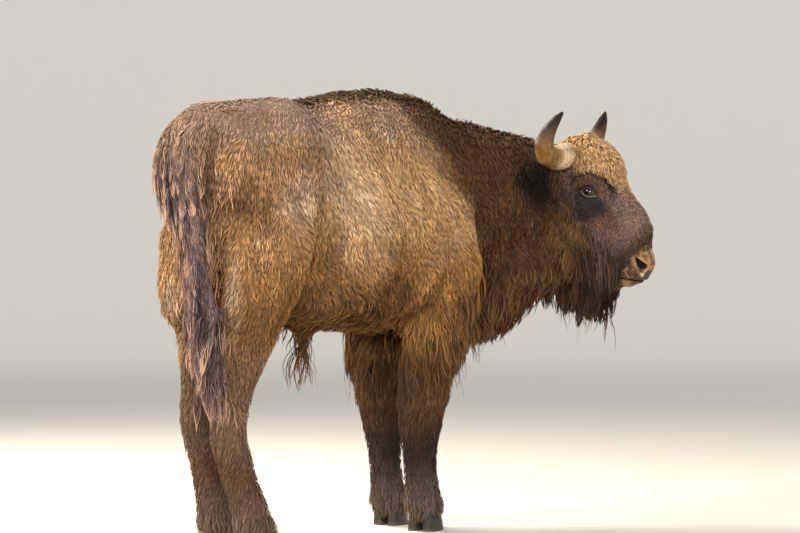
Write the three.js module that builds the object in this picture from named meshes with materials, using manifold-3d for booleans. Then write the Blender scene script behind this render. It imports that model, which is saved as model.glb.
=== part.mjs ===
// A life-size still model of a young European bison (wisent) bull. He stands square on all four legs, with the
// hind feet set a little under the body, and looks back over his right side with the head held high.
//
// Units are millimetres. +X is the way the trunk faces, +Y is the animal's left, and +Z is up from the floor.
// Each solid is a loft: rings at a few named stations along a body part, which give the outer form of the coat.
// The flesh is parted where a person would name its parts, and the hanging hair masses are parts of their own.

import * as THREE from "three";
import { mergeVertices } from "three/addons/utils/BufferGeometryUtils.js";
import Module from "manifold-3d";

const wasm = await Module();
wasm.setup();

// ---------------------------------------------------------------- driving dimensions

const GAP = 0.35; // clearance between parts that meet

// The stations below count X from under the heart and Y from the midline of the trunk. This point is the middle
// of the whole animal's footprint, which becomes the origin.
const CENTRE = { x: 148.2, y: -174.4 };

const HUMP_TOP = 1675; // highest point of the shoulder hump, with its coat
const BELLY_LOW = 765; // underside of the belly
const STANCE = 120; // each hoof's distance from the midline
const FORE_LEFT_AHEAD = 134; // how far the left fore foot stands ahead of the right one
const HIND_LEFT_AHEAD = 108; // how far the left hind foot stands ahead of the right one

const CLAW = { length: 126, width: 57, height: 76, split: 8 };

const HEAD = {
  poll: [1100, -409, 1536], // top of the head between the horns
  turn: -76, // degrees that the face is turned from the way the trunk faces, to the right
  droop: 64, // degrees that the face hangs below the horizontal
  roll: 7, // degrees that the right side of the head is lower than the left
};
const EYE = { along: 225, height: -84, side: 101, radius: 24 };
const BEARD_HEIGHT = 1058; // where the beard's own frame sits, straight below the poll
const SHEATH = { x: -345, y: -10, z: 742 };

// ---------------------------------------------------------------- lofts

/** A closed geometry from rings of equal length, with a pole at each end. */
function skinOver(rings, firstPole, lastPole) {
  const around = rings[0].length;
  const positions = [firstPole, ...rings.flat(), lastPole].flatMap((p) => [p.x, p.y, p.z]);
  const lastIndex = 1 + rings.length * around;
  const at = (ring, k) => 1 + ring * around + (k % around);
  const faces = [];
  for (let k = 0; k < around; k++) {
    faces.push(0, at(0, k + 1), at(0, k));
    faces.push(lastIndex, at(rings.length - 1, k), at(rings.length - 1, k + 1));
    for (let ring = 0; ring < rings.length - 1; ring++) {
      faces.push(at(ring, k), at(ring, k + 1), at(ring + 1, k));
      faces.push(at(ring + 1, k), at(ring, k + 1), at(ring + 1, k + 1));
    }
  }
  const geometry = new THREE.BufferGeometry();
  geometry.setAttribute("position", new THREE.Float32BufferAttribute(positions, 3));
  geometry.setIndex(faces);
  return geometry;
}

/**
 * A loft along a path. Each station is [x, y, z, front, back, side, frontRound, backRound]: a centre, how far the
 * section reaches towards the facing direction, away from it and to each side, and how boxy each half is (2 is an
 * ellipse, more is squarer, less is sharper). The rings stand square to the path, or all square to one straight
 * direction where that is given. The ends close in domes of the given lengths, or flat where that is 0.
 */
function loft({ stations, facing, straight, around = 12, domes = [0, 0], grow = 0 }) {
  const last = stations.length - 1;
  const reach = new THREE.Vector3(...facing);
  const centre = (i) => new THREE.Vector3(...stations[i].slice(0, 3));
  const heading = (i) => {
    if (straight) return new THREE.Vector3(...straight);
    return centre(Math.min(i + 1, last)).sub(centre(Math.max(i - 1, 0))).normalize();
  };
  const ring = (i, slide = 0, shrink = 1) => {
    const [front, back, side, frontRound = 2, backRound = 2] = stations[i].slice(3);
    const along = heading(i);
    const toFront = reach.clone().addScaledVector(along, -reach.dot(along)).normalize();
    const toSide = new THREE.Vector3().crossVectors(toFront, along);
    const middle = centre(i).addScaledVector(along, slide);
    return Array.from({ length: around }, (_, k) => {
      const angle = (2 * Math.PI * k) / around;
      const [c, s] = [Math.cos(angle), Math.sin(angle)];
      const power = 2 / (c >= 0 ? frontRound : backRound);
      const ahead = Math.sign(c) * Math.abs(c) ** power * ((c >= 0 ? front : back) + grow) * shrink;
      const beside = Math.sign(s) * Math.abs(s) ** power * (side + grow) * shrink;
      return middle.clone().addScaledVector(toFront, ahead).addScaledVector(toSide, beside);
    });
  };
  // A long dome is two rings and its pole, and a short one is a single ring and its pole.
  const dome = (i, length, sign) => {
    if (length === 0) return [];
    const levels = length > 30 ? [0.5, 0.86] : [0.7];
    return levels.map((rise) => ring(i, sign * rise * (length + grow), Math.sqrt(1 - rise * rise)));
  };
  const tip = (i, length, sign) => centre(i).addScaledVector(heading(i), sign * (length + grow));
  const rings = [
    ...dome(0, domes[0], -1).reverse(),
    ...stations.map((_, i) => ring(i)),
    ...dome(last, domes[1], 1),
  ];
  return skinOver(rings, tip(0, domes[0], -1), tip(last, domes[1], 1));
}

/** An ellipsoid with its middle at a place and its half-sizes, turned by Euler angles in degrees. */
function ellipsoid(place, halves, turn, around, levels) {
  const angles = turn.map(THREE.MathUtils.degToRad);
  const spin = new THREE.Quaternion().setFromEuler(new THREE.Euler(...angles));
  const [middle, size] = [new THREE.Vector3(...place), new THREE.Vector3(...halves)];
  const matrix = new THREE.Matrix4().compose(middle, spin, size);
  return new THREE.SphereGeometry(1, around, levels).applyMatrix4(matrix);
}

// ---------------------------------------------------------------- solids

/** A manifold-3d solid from a closed geometry, facing outwards. */
function solid(geometry, matrix = new THREE.Matrix4()) {
  const bare = (geometry.index ? geometry.toNonIndexed() : geometry.clone()).applyMatrix4(matrix);
  bare.deleteAttribute("normal");
  bare.deleteAttribute("uv");
  const merged = mergeVertices(bare, 1e-3);
  const vertProperties = merged.attributes.position.array;
  const build = (triVerts) => new wasm.Manifold(new wasm.Mesh({ numProp: 3, vertProperties, triVerts }));
  const made = build(new Uint32Array(merged.index.array));
  return made.volume() > 0 ? made : build(new Uint32Array(merged.index.array).reverse());
}

/** A loft as it is, and the same loft grown by the gap, which is what its neighbours are cut with. */
function pair(options, matrix) {
  return { true: solid(loft(options), matrix), grown: solid(loft({ ...options, grow: GAP }), matrix) };
}

/** A solid less its neighbours. Only the largest body that is left counts, so that no sliver stays. */
function less(shape, ...others) {
  const rest = others.reduce((left, other) => left.subtract(other), shape);
  return rest.decompose().reduce((a, b) => (a.volume() > b.volume() ? a : b));
}

/** A geometry from a solid, for a mesh. */
function geometryOf(shape) {
  const { vertProperties, triVerts } = shape.getMesh();
  const geometry = new THREE.BufferGeometry();
  geometry.setAttribute("position", new THREE.Float32BufferAttribute(vertProperties, 3));
  geometry.setIndex(Array.from(triVerts));
  geometry.computeVertexNormals();
  return geometry;
}

// ---------------------------------------------------------------- trunk and neck

// x, top, underside, widest half-width, height of the widest place, roundness above, roundness below
const TRUNK_PROFILE = [
  [-962, 1556, 1050, 216, 1275, 2.4, 2.0],
  [-890, 1582, 965, 238, 1285, 2.4, 2.1],
  [-780, 1594, 885, 256, 1310, 2.5, 2.2],
  [-660, 1602, 832, 272, 1330, 2.6, 2.15],
  [-545, 1602, 796, 262, 1220, 1.85, 2.1],
  [-400, 1604, 770, 289, 1130, 1.76, 2.2],
  [-225, 1632, BELLY_LOW, 311, 1100, 1.8, 2.25],
  [-50, 1662, 752, 308, 1100, 1.75, 2.2],
  [110, HUMP_TOP, 738, 290, 1110, 1.72, 2.1],
  [250, HUMP_TOP, 728, 268, 1120, 1.7, 2.0],
  [390, 1668, 728, 247, 1125, 1.7, 1.9],
  [510, 1642, 748, 226, 1130, 1.75, 1.8],
  [590, 1592, 800, 195, 1130, 1.8, 1.8],
];

function trunkLoft() {
  const stations = TRUNK_PROFILE.map(([x, top, under, half, wide, above, below]) => [
    x, 0, wide, top - wide, wide - under, half, above, below,
  ]);
  return { stations, facing: [0, 0, 1], straight: [1, 0, 0], around: 24, domes: [76, 90] };
}

// From inside the shoulders to inside the back of the head.
function neckLoft() {
  const stations = [
    [470, -6, 1215, 400, 400, 205, 1.8, 1.9],
    [640, -22, 1228, 378, 385, 212, 1.8, 1.9],
    [790, -72, 1248, 335, 338, 196, 1.85, 1.9],
    [920, -150, 1272, 286, 290, 176, 1.95, 1.9],
    [1012, -235, 1296, 236, 250, 132, 2.0, 2.0],
    [1062, -306, 1318, 186, 220, 92, 2.1, 2.0],
  ];
  return { stations, facing: [0, 0, 1], around: 20, domes: [0, 24] };
}

// ---------------------------------------------------------------- limbs

// Each right leg runs down from inside the body to the hoof.
const FORE_RIGHT = [
  [360, -96, 1240, 100, 100, 78],
  [385, -128, 1130, 140, 130, 100],
  [390, -170, 985, 172, 160, 114],
  [335, -176, 840, 150, 178, 114],
  [300, -168, 715, 122, 178, 110],
  [284, -150, 600, 104, 156, 104],
  [275, -134, 500, 88, 112, 90],
  [270, -126, 420, 76, 82, 77],
  [272, -122, 330, 62, 64, 62, 2.1, 2],
  [279, -121, 240, 53, 55, 54, 2.1, 2],
  [294, -STANCE, 150, 58, 59, 58, 2.2, 2.1],
  [310, -STANCE, 66, 66, 60, 64, 2.4, 2.2],
];

const HIND_RIGHT = [
  [-780, -96, 1310, 130, 110, 80],
  [-785, -122, 1220, 185, 165, 100],
  [-800, -164, 1095, 210, 176, 118],
  [-825, -170, 950, 185, 192, 113],
  [-850, -157, 830, 140, 158, 92],
  [-872, -142, 730, 104, 122, 78],
  [-902, -122, 625, 80, 94, 69],
  [-934, -104, 505, 63, 82, 62, 2, 1.9],
  [-930, -96, 415, 58, 72, 58, 2.1, 1.9],
  [-898, -98, 335, 55, 58, 56, 2.1, 2],
  [-866, -105, 245, 52, 54, 52, 2.1, 2],
  [-828, -114, 160, 56, 57, 56, 2.2, 2.1],
  [-796, -STANCE, 66, 64, 58, 62, 2.4, 2.2],
];

/** The stations of the leg on the left side. Its foot stands ahead by a distance that fades out up the leg. */
function leftLeg(stations, ahead) {
  const topHeight = stations[0][2];
  return stations.map(([x, y, z, ...rest]) => {
    const down = Math.min(1, (topHeight - z) / (0.45 * topHeight));
    return [x + ahead * down * down * (3 - 2 * down), -y, z, ...rest];
  });
}

const LEGS = {
  fore_right: FORE_RIGHT,
  fore_left: leftLeg(FORE_RIGHT, FORE_LEFT_AHEAD),
  hind_right: HIND_RIGHT,
  hind_left: leftLeg(HIND_RIGHT, HIND_LEFT_AHEAD),
};

function legLoft(stations) {
  return { stations, facing: [1, 0, 0], around: 14, domes: [60, 12] };
}

/** One half of a cloven hoof, with its flat sole on the floor and its toe ahead of the pastern. */
function clawLoft(footX, footY, inner) {
  const { length, width, height, split } = CLAW;
  const [x, y] = [footX + 8, footY + inner * (width / 2 + split / 2)];
  const [toe, heel] = [0.58 * length, 0.42 * length];
  const stations = [
    [x, y, 0, toe, heel, width / 2, 1.6, 2.6],
    [x, y, 0.45 * height, 0.84 * toe, heel, 0.97 * (width / 2), 1.65, 2.6],
    [x, y, height, 0.58 * toe, 0.9 * heel, 0.86 * (width / 2), 1.9, 2.4],
  ];
  return { stations, facing: [1, 0, 0], straight: [0, 0, 1] };
}

/** A dewclaw behind the fetlock. */
function dewclawLoft(footX, footY, inner) {
  const y = footY + inner * 27;
  const stations = [
    [footX - 34, y, 150, 15, 15, 14],
    [footX - 52, y, 132, 15, 16, 14],
    [footX - 66, y, 108, 9, 9, 9],
  ];
  return { stations, facing: [1, 0, 0], around: 6, domes: [0, 6] };
}

/** The claws and dewclaws of the foot at the end of a leg, by name. */
function footParts(name, stations) {
  const [x, y] = stations.at(-1);
  const outwards = Math.sign(y);
  const parts = {};
  for (const [sideName, inner] of [["outer", outwards], ["inner", -outwards]]) {
    parts[`hoof_${name}_${sideName}`] = pair(clawLoft(x, y, inner));
    parts[`dewclaw_${name}_${sideName}`] = pair(dewclawLoft(x, y, inner));
  }
  return parts;
}

// ---------------------------------------------------------------- head, in its own frame

/** The head's frame, with X down the face from the poll to the lips, Z out of the forehead and Y to its left. */
function headMatrix() {
  const turnBy = (axis, degrees) =>
    new THREE.Quaternion().setFromAxisAngle(new THREE.Vector3(...axis), THREE.MathUtils.degToRad(degrees));
  const spin = turnBy([0, 0, 1], HEAD.turn)
    .multiply(turnBy([0, 1, 0], HEAD.droop))
    .multiply(turnBy([1, 0, 0], HEAD.roll));
  return new THREE.Matrix4().compose(new THREE.Vector3(...HEAD.poll), spin, new THREE.Vector3(1, 1, 1));
}

// along the face, forehead line, jaw line, half-width, height of the widest place, roundness front and back
const HEAD_PROFILE = [
  [14, 20, -205, 104, -82, 2.1, 2.2],
  [62, 54, -240, 126, -88, 2.2, 2.2],
  [122, 77, -260, 134, -94, 2.3, 2.2],
  [190, 75, -268, 130, -100, 2.4, 2.2],
  [240, 54, -268, 120, -110, 2.3, 2.2],
  [305, 58, -256, 104, -110, 2.2, 2.1],
  [365, 69, -236, 92, -96, 2.1, 2.1],
  [430, 66, -212, 82, -82, 2.1, 2.1],
  [484, 36, -192, 74, -76, 2.2, 2.2],
  [545, 17, -176, 70, -76, 2.4, 2.3],
  [592, -2, -160, 66, -80, 2.5, 2.4],
  [620, -30, -142, 50, -84, 2.3, 2.3],
];

function headLoft() {
  const stations = HEAD_PROFILE.map(([x, brow, jaw, half, wide, front, back]) => [
    x, 0, wide, brow - wide, wide - jaw, half, front, back,
  ]);
  return { stations, facing: [0, 0, 1], straight: [1, 0, 0], around: 20, domes: [48, 10] };
}

/** The head's whole mass, with a bony ridge over each eye and a full cheek below it. */
function skullPair(matrix) {
  const joined = (grow) => {
    let made = solid(loft({ ...headLoft(), grow }), matrix);
    for (const side of [-1, 1]) {
      const ridge = [54 + grow, 26 + grow, 32 + grow];
      const cheek = [92 + grow, 28 + grow, 44 + grow];
      made = made.add(solid(ellipsoid([200, side * 98, -62], ridge, [0, 0, side * 10], 10, 6), matrix));
      made = made.add(solid(ellipsoid([318, side * 70, -128], cheek, [0, 0, side * -12], 10, 6), matrix));
    }
    return made;
  };
  return { true: joined(0), grown: joined(GAP) };
}

/** The head with its eye sockets, nostrils and mouth opened up. */
function openedHead(skull, matrix, grownEyes) {
  let made = skull;
  for (const side of [-1, 1]) {
    const rim = [EYE.along + 1, side * (EYE.side + 30), EYE.height];
    const socket = ellipsoid(rim, [30, 26, 19], [0, 6, 0], 10, 6);
    const nostril = ellipsoid([590, side * 54, -34], [14, 16, 23], [0, 24, side * 22], 8, 5);
    made = made.subtract(solid(socket, matrix)).subtract(solid(nostril, matrix));
  }
  const mouth = ellipsoid([640, 0, -118], [72, 120, 3.4], [0, -27, 0], 12, 5);
  return less(made.subtract(solid(mouth, matrix)), ...grownEyes);
}

function eyeball(side, grow = 0) {
  const { along, height, side: out, radius } = EYE;
  const halves = Array(3).fill(radius + grow);
  return ellipsoid([along, side * out, height], halves, [90, 0, 0], 12, 8);
}

// along the face, out to the side, out of the forehead, thickness
const HORN_RUN = [
  [52, 62, -84, 50],
  [56, 120, -98, 53],
  [54, 186, -116, 49],
  [36, 246, -122, 44],
  [0, 284, -98, 38],
  [-36, 286, -54, 29],
  [-62, 266, -16, 19],
  [-80, 242, 14, 7],
];

/** A horn that leaves the side of the head, swings out and back, and turns up and in at the tip. */
function hornLoft(side) {
  const stations = HORN_RUN.map(([x, out, z, thick]) => [x, side * out, z, thick, thick, thick]);
  return { stations, facing: [0.7, 0, 0.7], domes: [0, 5] };
}

/** An ear that reaches out, back and a little down from behind the horn. */
function earLoft(side) {
  const stations = [
    [80, side * 88, -176, 28, 28, 24],
    [76, side * 150, -188, 44, 42, 22],
    [72, side * 208, -196, 52, 48, 20],
    [66, side * 256, -200, 38, 34, 15],
    [60, side * 292, -202, 12, 12, 8],
  ];
  return { stations, facing: [1, 0, 0], around: 8, domes: [0, 6] };
}

// ---------------------------------------------------------------- tail and hair masses

function tailLoft() {
  const stations = [
    [-975, 0, 1486, 40, 36, 40],
    [-1030, -4, 1448, 44, 40, 44],
    [-1056, -14, 1350, 42, 42, 50],
    [-1062, -30, 1220, 42, 44, 54],
    [-1062, -48, 1080, 42, 46, 58],
    [-1060, -64, 950, 42, 48, 62],
  ];
  return { stations, facing: [1, 0, 0.6], around: 10 };
}

function tailTuftLoft() {
  const stations = [
    [-1060, -64, 950, 44, 50, 64],
    [-1056, -76, 820, 46, 54, 70],
    [-1048, -92, 690, 44, 52, 66],
    [-1038, -106, 570, 34, 42, 50],
    [-1032, -116, 470, 14, 18, 20],
  ];
  return { stations, facing: [1, 0, 0], around: 10, domes: [0, 14] };
}

/** A curtain of hair under the neck and the brisket, from between the forelegs to the jaw. */
function maneLoft() {
  const stations = [
    [450, -10, 850, 70, 115, 110, 2, 2.1],
    [530, -34, 850, 90, 205, 132],
    [620, -76, 872, 100, 262, 142, 2, 1.9],
    [705, -120, 906, 110, 252, 140, 2, 1.9],
    [790, -172, 946, 110, 214, 130, 2, 1.9],
    [870, -232, 990, 100, 170, 116],
    [940, -292, 1030, 80, 142, 98],
    [1000, -350, 1066, 60, 130, 78],
  ];
  return { stations, facing: [0, 0, 1], domes: [30, 24] };
}

/** The beard, which hangs from the jaw and chin. Its frame is upright, turned with the head, below the poll. */
function beardLoft() {
  const stations = [
    [-60, 0, 90, 80, 100, 86],
    [-24, 0, -10, 128, 142, 90, 2.1, 2.1],
    [-2, 0, -100, 134, 158, 80, 2.1, 2.1],
    [2, 0, -185, 112, 136, 62],
    [4, 0, -265, 72, 92, 42],
    [2, 0, -342, 26, 32, 20],
  ];
  return { stations, facing: [1, 0, 0], domes: [0, 10] };
}

function beardMatrix() {
  const turn = THREE.MathUtils.degToRad(HEAD.turn);
  return new THREE.Matrix4().makeRotationZ(turn).setPosition(HEAD.poll[0], HEAD.poll[1], BEARD_HEIGHT);
}

/** The tuft of hair at the sheath, under the belly. */
function sheathLoft() {
  const { x, y, z } = SHEATH;
  const stations = [
    [x, y, z + 60, 70, 60, 40],
    [x + 4, y, z, 52, 48, 34],
    [x + 6, y, z - 70, 30, 30, 24],
    [x + 14, y, z - 160, 10, 12, 9],
  ];
  return { stations, facing: [1, 0, 0], around: 8, domes: [0, 8] };
}

// ---------------------------------------------------------------- the whole animal

const MATERIALS = {
  coat: new THREE.MeshStandardMaterial({ color: 0x8a6340, roughness: 0.85, metalness: 0 }),
  dark_coat: new THREE.MeshStandardMaterial({ color: 0x4a3223, roughness: 0.85, metalness: 0 }),
  leg_coat: new THREE.MeshStandardMaterial({ color: 0x5c4433, roughness: 0.85, metalness: 0 }),
  horn: new THREE.MeshStandardMaterial({ color: 0x8f7650, roughness: 0.5, metalness: 0 }),
  hoof: new THREE.MeshStandardMaterial({ color: 0x37322e, roughness: 0.6, metalness: 0 }),
  eye: new THREE.MeshStandardMaterial({ color: 0x120b08, roughness: 0.08, metalness: 0 }),
};

const root = new THREE.Group();
root.position.set(-CENTRE.x, -CENTRE.y, 0);

function addPart(name, shape, material) {
  const mesh = new THREE.Mesh(geometryOf(shape), MATERIALS[material]);
  mesh.name = name;
  root.add(mesh);
}

/** Trunk, neck, head, eyes, horns and ears. It returns the grown solids that the rest is cut with. */
function addBody(face) {
  const trunk = pair(trunkLoft());
  const neck = pair(neckLoft());
  const skull = skullPair(face);
  const sides = { right: -1, left: 1 };
  const grownEyes = Object.values(sides).map((side) => solid(eyeball(side, GAP), face));

  addPart("trunk", trunk.true, "coat");
  addPart("neck", less(neck.true, trunk.grown, skull.grown), "dark_coat");
  addPart("head", openedHead(skull.true, face, grownEyes), "dark_coat");
  for (const [name, side] of Object.entries(sides)) {
    const horn = pair(hornLoft(side), face);
    const ear = solid(loft(earLoft(side)), face);
    addPart(`eye_${name}`, solid(eyeball(side), face), "eye");
    addPart(`horn_${name}`, less(horn.true, skull.grown, neck.grown), "horn");
    addPart(`ear_${name}`, less(ear, skull.grown, neck.grown, horn.grown), "dark_coat");
  }
  return [trunk.grown, neck.grown, skull.grown];
}

/** The four legs with their hooves and dewclaws. It returns the legs' grown solids. */
function addLegs(body) {
  return Object.entries(LEGS).map(([name, stations]) => {
    const leg = pair(legLoft(stations));
    const feet = footParts(name, stations);
    const grownFeet = Object.values(feet).map((part) => part.grown);
    addPart(`leg_${name}`, less(leg.true, ...body, ...grownFeet), "leg_coat");
    for (const [part, shape] of Object.entries(feet)) addPart(part, shape.true, "hoof");
    return leg.grown;
  });
}

/** The tail and the hanging hair. */
function addHair(body) {
  const tail = pair(tailLoft());
  const mane = pair(maneLoft());
  addPart("tail", less(tail.true, ...body), "coat");
  addPart("tail_tuft", less(solid(loft(tailTuftLoft())), tail.grown, ...body), "dark_coat");
  addPart("throat_mane", less(mane.true, ...body), "dark_coat");
  addPart("beard", less(solid(loft(beardLoft()), beardMatrix()), mane.grown, ...body), "dark_coat");
  addPart("sheath_tuft", less(solid(loft(sheathLoft())), ...body), "dark_coat");
}

const body = addBody(headMatrix());
const legs = addLegs(body);
addHair([...body, ...legs]);

export default root;
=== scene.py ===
"""A life-size standing wisent: its skin, woolly coat, long locks, eyes, horns and hooves, in a plain studio.

Everything is in metres in the solid model's frame: +X the way the trunk faces, +Y the animal's left, +Z up.
"""

import itertools
import logging
import math
from dataclasses import dataclass
from enum import Enum
from typing import ClassVar

import bmesh
import bpy
import numpy as np
from mathutils import Matrix, Vector
from mathutils.bvhtree import BVHTree


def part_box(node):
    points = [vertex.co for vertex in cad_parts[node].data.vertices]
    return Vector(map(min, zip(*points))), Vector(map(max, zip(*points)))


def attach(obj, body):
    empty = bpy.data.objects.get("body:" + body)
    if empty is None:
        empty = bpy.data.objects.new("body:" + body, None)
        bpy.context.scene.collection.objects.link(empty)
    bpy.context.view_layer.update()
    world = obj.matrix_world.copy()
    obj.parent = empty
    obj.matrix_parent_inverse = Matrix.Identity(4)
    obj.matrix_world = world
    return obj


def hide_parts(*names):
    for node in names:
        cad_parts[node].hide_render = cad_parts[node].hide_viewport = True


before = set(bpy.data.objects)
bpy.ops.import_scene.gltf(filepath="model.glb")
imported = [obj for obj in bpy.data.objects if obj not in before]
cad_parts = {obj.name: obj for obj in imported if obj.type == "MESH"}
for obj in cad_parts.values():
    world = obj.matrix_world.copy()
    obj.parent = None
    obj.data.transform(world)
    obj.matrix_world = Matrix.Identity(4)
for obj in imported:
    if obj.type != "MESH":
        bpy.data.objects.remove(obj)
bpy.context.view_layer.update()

Array = np.ndarray
Triple = tuple[float, float, float]  # a place, a size along each axis, or a linear colour
log = logging.getLogger("wisent")

HEART_BEHIND = 1.038  # from the back of the trunk to the point under the heart that body places count from
MIDRIFF = -0.28  # where the coat's fore pieces end and its hind pieces begin, counted from under the heart
DOWN = np.array([0.0, 0.0, -1.0])
MM = 0.001
CYCLE = 2 * math.pi
MERGE = 0.02 * MM  # places of a solid that are closer than this are one


# ------------------------------ small tools


def linear(code: str) -> Triple:
    """Turns an sRGB hex colour into linear light.

    Args:
        code: The colour, such as "#b3895f".

    Returns:
        Linear red, green and blue.
    """
    parts = [int(code[i : i + 2], 16) / 255 for i in (1, 3, 5)]
    return tuple(c / 12.92 if c <= 0.04045 else ((c + 0.055) / 1.055) ** 2.4 for c in parts)


def ease(values: Array, low: float, high: float) -> Array:
    """A smooth step from 0 at low to 1 at high, which may be the smaller one."""
    t = np.clip((np.asarray(values) - low) / (high - low), 0.0, 1.0)
    return t * t * (3.0 - 2.0 * t)


def unit(vectors: Array) -> Array:
    """Vectors scaled to length 1."""
    return vectors / np.maximum(np.linalg.norm(vectors, axis=-1, keepdims=True), 1e-9)


def blend(a: Array, b: Array, share: Array) -> Array:
    """Rows of a mixed towards b by a share for each row."""
    return a + (np.asarray(b) - a) * np.asarray(share)[..., None]


def noise(places: Array, cell: float, seed: int) -> Array:
    """Smooth noise from a lattice of random values.

    Args:
        places: Points, one row each.
        cell: The size of a lump of the noise.
        seed: Which noise it is.

    Returns:
        A value from -1 to 1 for each point.
    """
    q = places / cell
    base = np.floor(q).astype(np.int64)
    f = q - base
    f = f * f * (3.0 - 2.0 * f)
    total = np.zeros(len(places))
    for corner in itertools.product((0, 1), repeat=3):
        at = base + np.array(corner)
        key = (at[:, 0] * 73856093) ^ (at[:, 1] * 19349663) ^ (at[:, 2] * 83492791) ^ (seed * 265443)
        key = ((key ^ (key >> 13)) * 1274126177) & 0xFFFFFFFF
        value = ((key >> 8) & 0xFFFF) / 32767.5 - 1.0
        weight = np.prod(np.where(np.array(corner), f, 1.0 - f), axis=1)
        total += value * weight
    return total


def vectors_of(items: bpy.types.bpy_prop_collection, name: str, width: int = 3) -> Array:
    """A property of every item of a mesh, as rows of numbers."""
    found = np.empty(len(items) * width, np.float32)
    items.foreach_get(name, found)
    return found.reshape(-1, width).astype(np.float64)


def indices_of(items: bpy.types.bpy_prop_collection, name: str, width: int) -> Array:
    """An index property of every item of a mesh, as rows of whole numbers."""
    found = np.empty(len(items) * width, np.int32)
    items.foreach_get(name, found)
    return found.reshape(-1, width)


def solid_of(node: str, grown: float = 0.0) -> tuple[Array, Array]:
    """Reads a solid of the frame from a merged copy of it.

    Args:
        node: The solid.
        grown: How far its places are moved outwards.

    Returns:
        Its places and its triangles.
    """
    bm = bmesh.new()
    bm.from_mesh(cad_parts[node].data)
    bmesh.ops.remove_doubles(bm, verts=bm.verts, dist=MERGE)
    bmesh.ops.triangulate(bm, faces=bm.faces)
    bm.normal_update()
    places = np.array([vert.co + vert.normal * grown for vert in bm.verts])
    tris = np.array([[vert.index for vert in face.verts] for face in bm.faces])
    bm.free()
    return places, tris


def smooth_mesh(bm: bmesh.types.BMesh, name: str) -> bpy.types.Mesh:
    """Ends the work on a bmesh as a mesh that is shaded smooth."""
    mesh = bpy.data.meshes.new(name)
    bm.to_mesh(mesh)
    bm.free()
    mesh.shade_smooth()
    return mesh


def link(mesh: bpy.types.Mesh, name: str) -> bpy.types.Object:
    """Puts a mesh in the scene as an object at the origin."""
    piece = bpy.data.objects.new(name, mesh)
    bpy.context.scene.collection.objects.link(piece)
    return piece


def finish_piece(
    piece: bpy.types.Object, material: bpy.types.Material, replaced: tuple[str, ...] = ()
) -> None:
    """Gives a piece its material, its body and the solids that it stands for.

    Args:
        piece: The piece.
        material: Its material.
        replaced: The solids that it stands for.
    """
    piece.data.materials.clear()
    piece.data.materials.append(material)
    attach(piece, "root")
    if replaced:
        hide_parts(*replaced)
    log.info("%s: %d faces", piece.name, len(piece.data.polygons))


# ------------------------------ frames of places


def under_heart() -> Vector:
    """The point on the floor under the heart, on the trunk's midline."""
    low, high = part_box("trunk")
    return Vector((low.x + HEART_BEHIND, (low.y + high.y) / 2, 0.0))


@dataclass(frozen=True)
class HeadPose:
    """How the head is held. Its own frame has X down the face, Z out of the forehead and Y to its left."""

    poll: Triple = (1.1, -0.409, 1.536)
    turn: float = -76.0
    droop: float = 64.0
    roll: float = 7.0

    def matrix(self) -> Matrix:
        """The head's frame in the row frame."""
        turns = ((self.turn, "Z"), (self.droop, "Y"), (self.roll, "X"))
        made = Matrix.Translation(under_heart() + Vector(self.poll))
        for angle, axis in turns:
            made = made @ Matrix.Rotation(math.radians(angle), 4, axis)
        return made


HEAD = np.array(HeadPose().matrix())
HEART = np.array(under_heart())


def in_head(places: Array) -> Array:
    """Places in the head's own frame."""
    return (places - HEAD[:3, 3]) @ HEAD[:3, :3]


def from_head(places: Array) -> Array:
    """Places out of the head's own frame, in the row frame."""
    return places @ HEAD[:3, :3].T + HEAD[:3, 3]


# ------------------------------ regions


class Region(Enum):
    """A part of the skin with a fur of its own, and the solids that it comes from."""

    TRUNK = ("trunk",)
    NECK = ("neck",)
    HEAD = ("head",)
    EARS = ("ear_right", "ear_left")
    FORELEGS = ("leg_fore_right", "leg_fore_left")
    HINDLEGS = ("leg_hind_right", "leg_hind_left")
    TAIL = ("tail",)
    TAIL_TUFT = ("tail_tuft",)
    MANE = ("throat_mane",)
    BEARD = ("beard",)
    SHEATH = ("sheath_tuft",)


REGIONS = list(Region)
NODES = [node for region in REGIONS for node in region.value]


# How high above the tips of a hanging hair mass its firm core ends.
CORE_ABOVE = {"tail_tuft": 0.17, "throat_mane": 0.09, "beard": 0.16, "sheath_tuft": 0.15}
TIPS_LEFT = 0.12  # how much of the length below it is left to the core
HANGING = (Region.TAIL, Region.TAIL_TUFT, Region.MANE, Region.BEARD, Region.SHEATH)


@dataclass(frozen=True)
class Fur:
    """What grows in a region, in metres: the coat's depth, and the tufts' length, width and spacing."""

    depth: float
    length: float
    width: float
    spacing: float


FURS = {
    Region.TRUNK: Fur(0.022, 0.05, 0.0046, 0.0083),
    Region.NECK: Fur(0.028, 0.052, 0.0052, 0.0088),
    Region.HEAD: Fur(0.01, 0.03, 0.005, 0.0061),
    Region.EARS: Fur(0.004, 0.034, 0.0044, 0.0056),
    Region.FORELEGS: Fur(0.02, 0.052, 0.005, 0.0095),
    Region.HINDLEGS: Fur(0.018, 0.046, 0.0048, 0.0092),
    Region.TAIL: Fur(0.016, 0.065, 0.0056, 0.0088),
    Region.TAIL_TUFT: Fur(0.02, 0.09, 0.0064, 0.011),
    Region.MANE: Fur(0.028, 0.09, 0.0064, 0.012),
    Region.BEARD: Fur(0.026, 0.06, 0.0056, 0.0115),
    Region.SHEATH: Fur(0.016, 0.045, 0.0046, 0.01),
}


# ------------------------------ places on the skin


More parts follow.
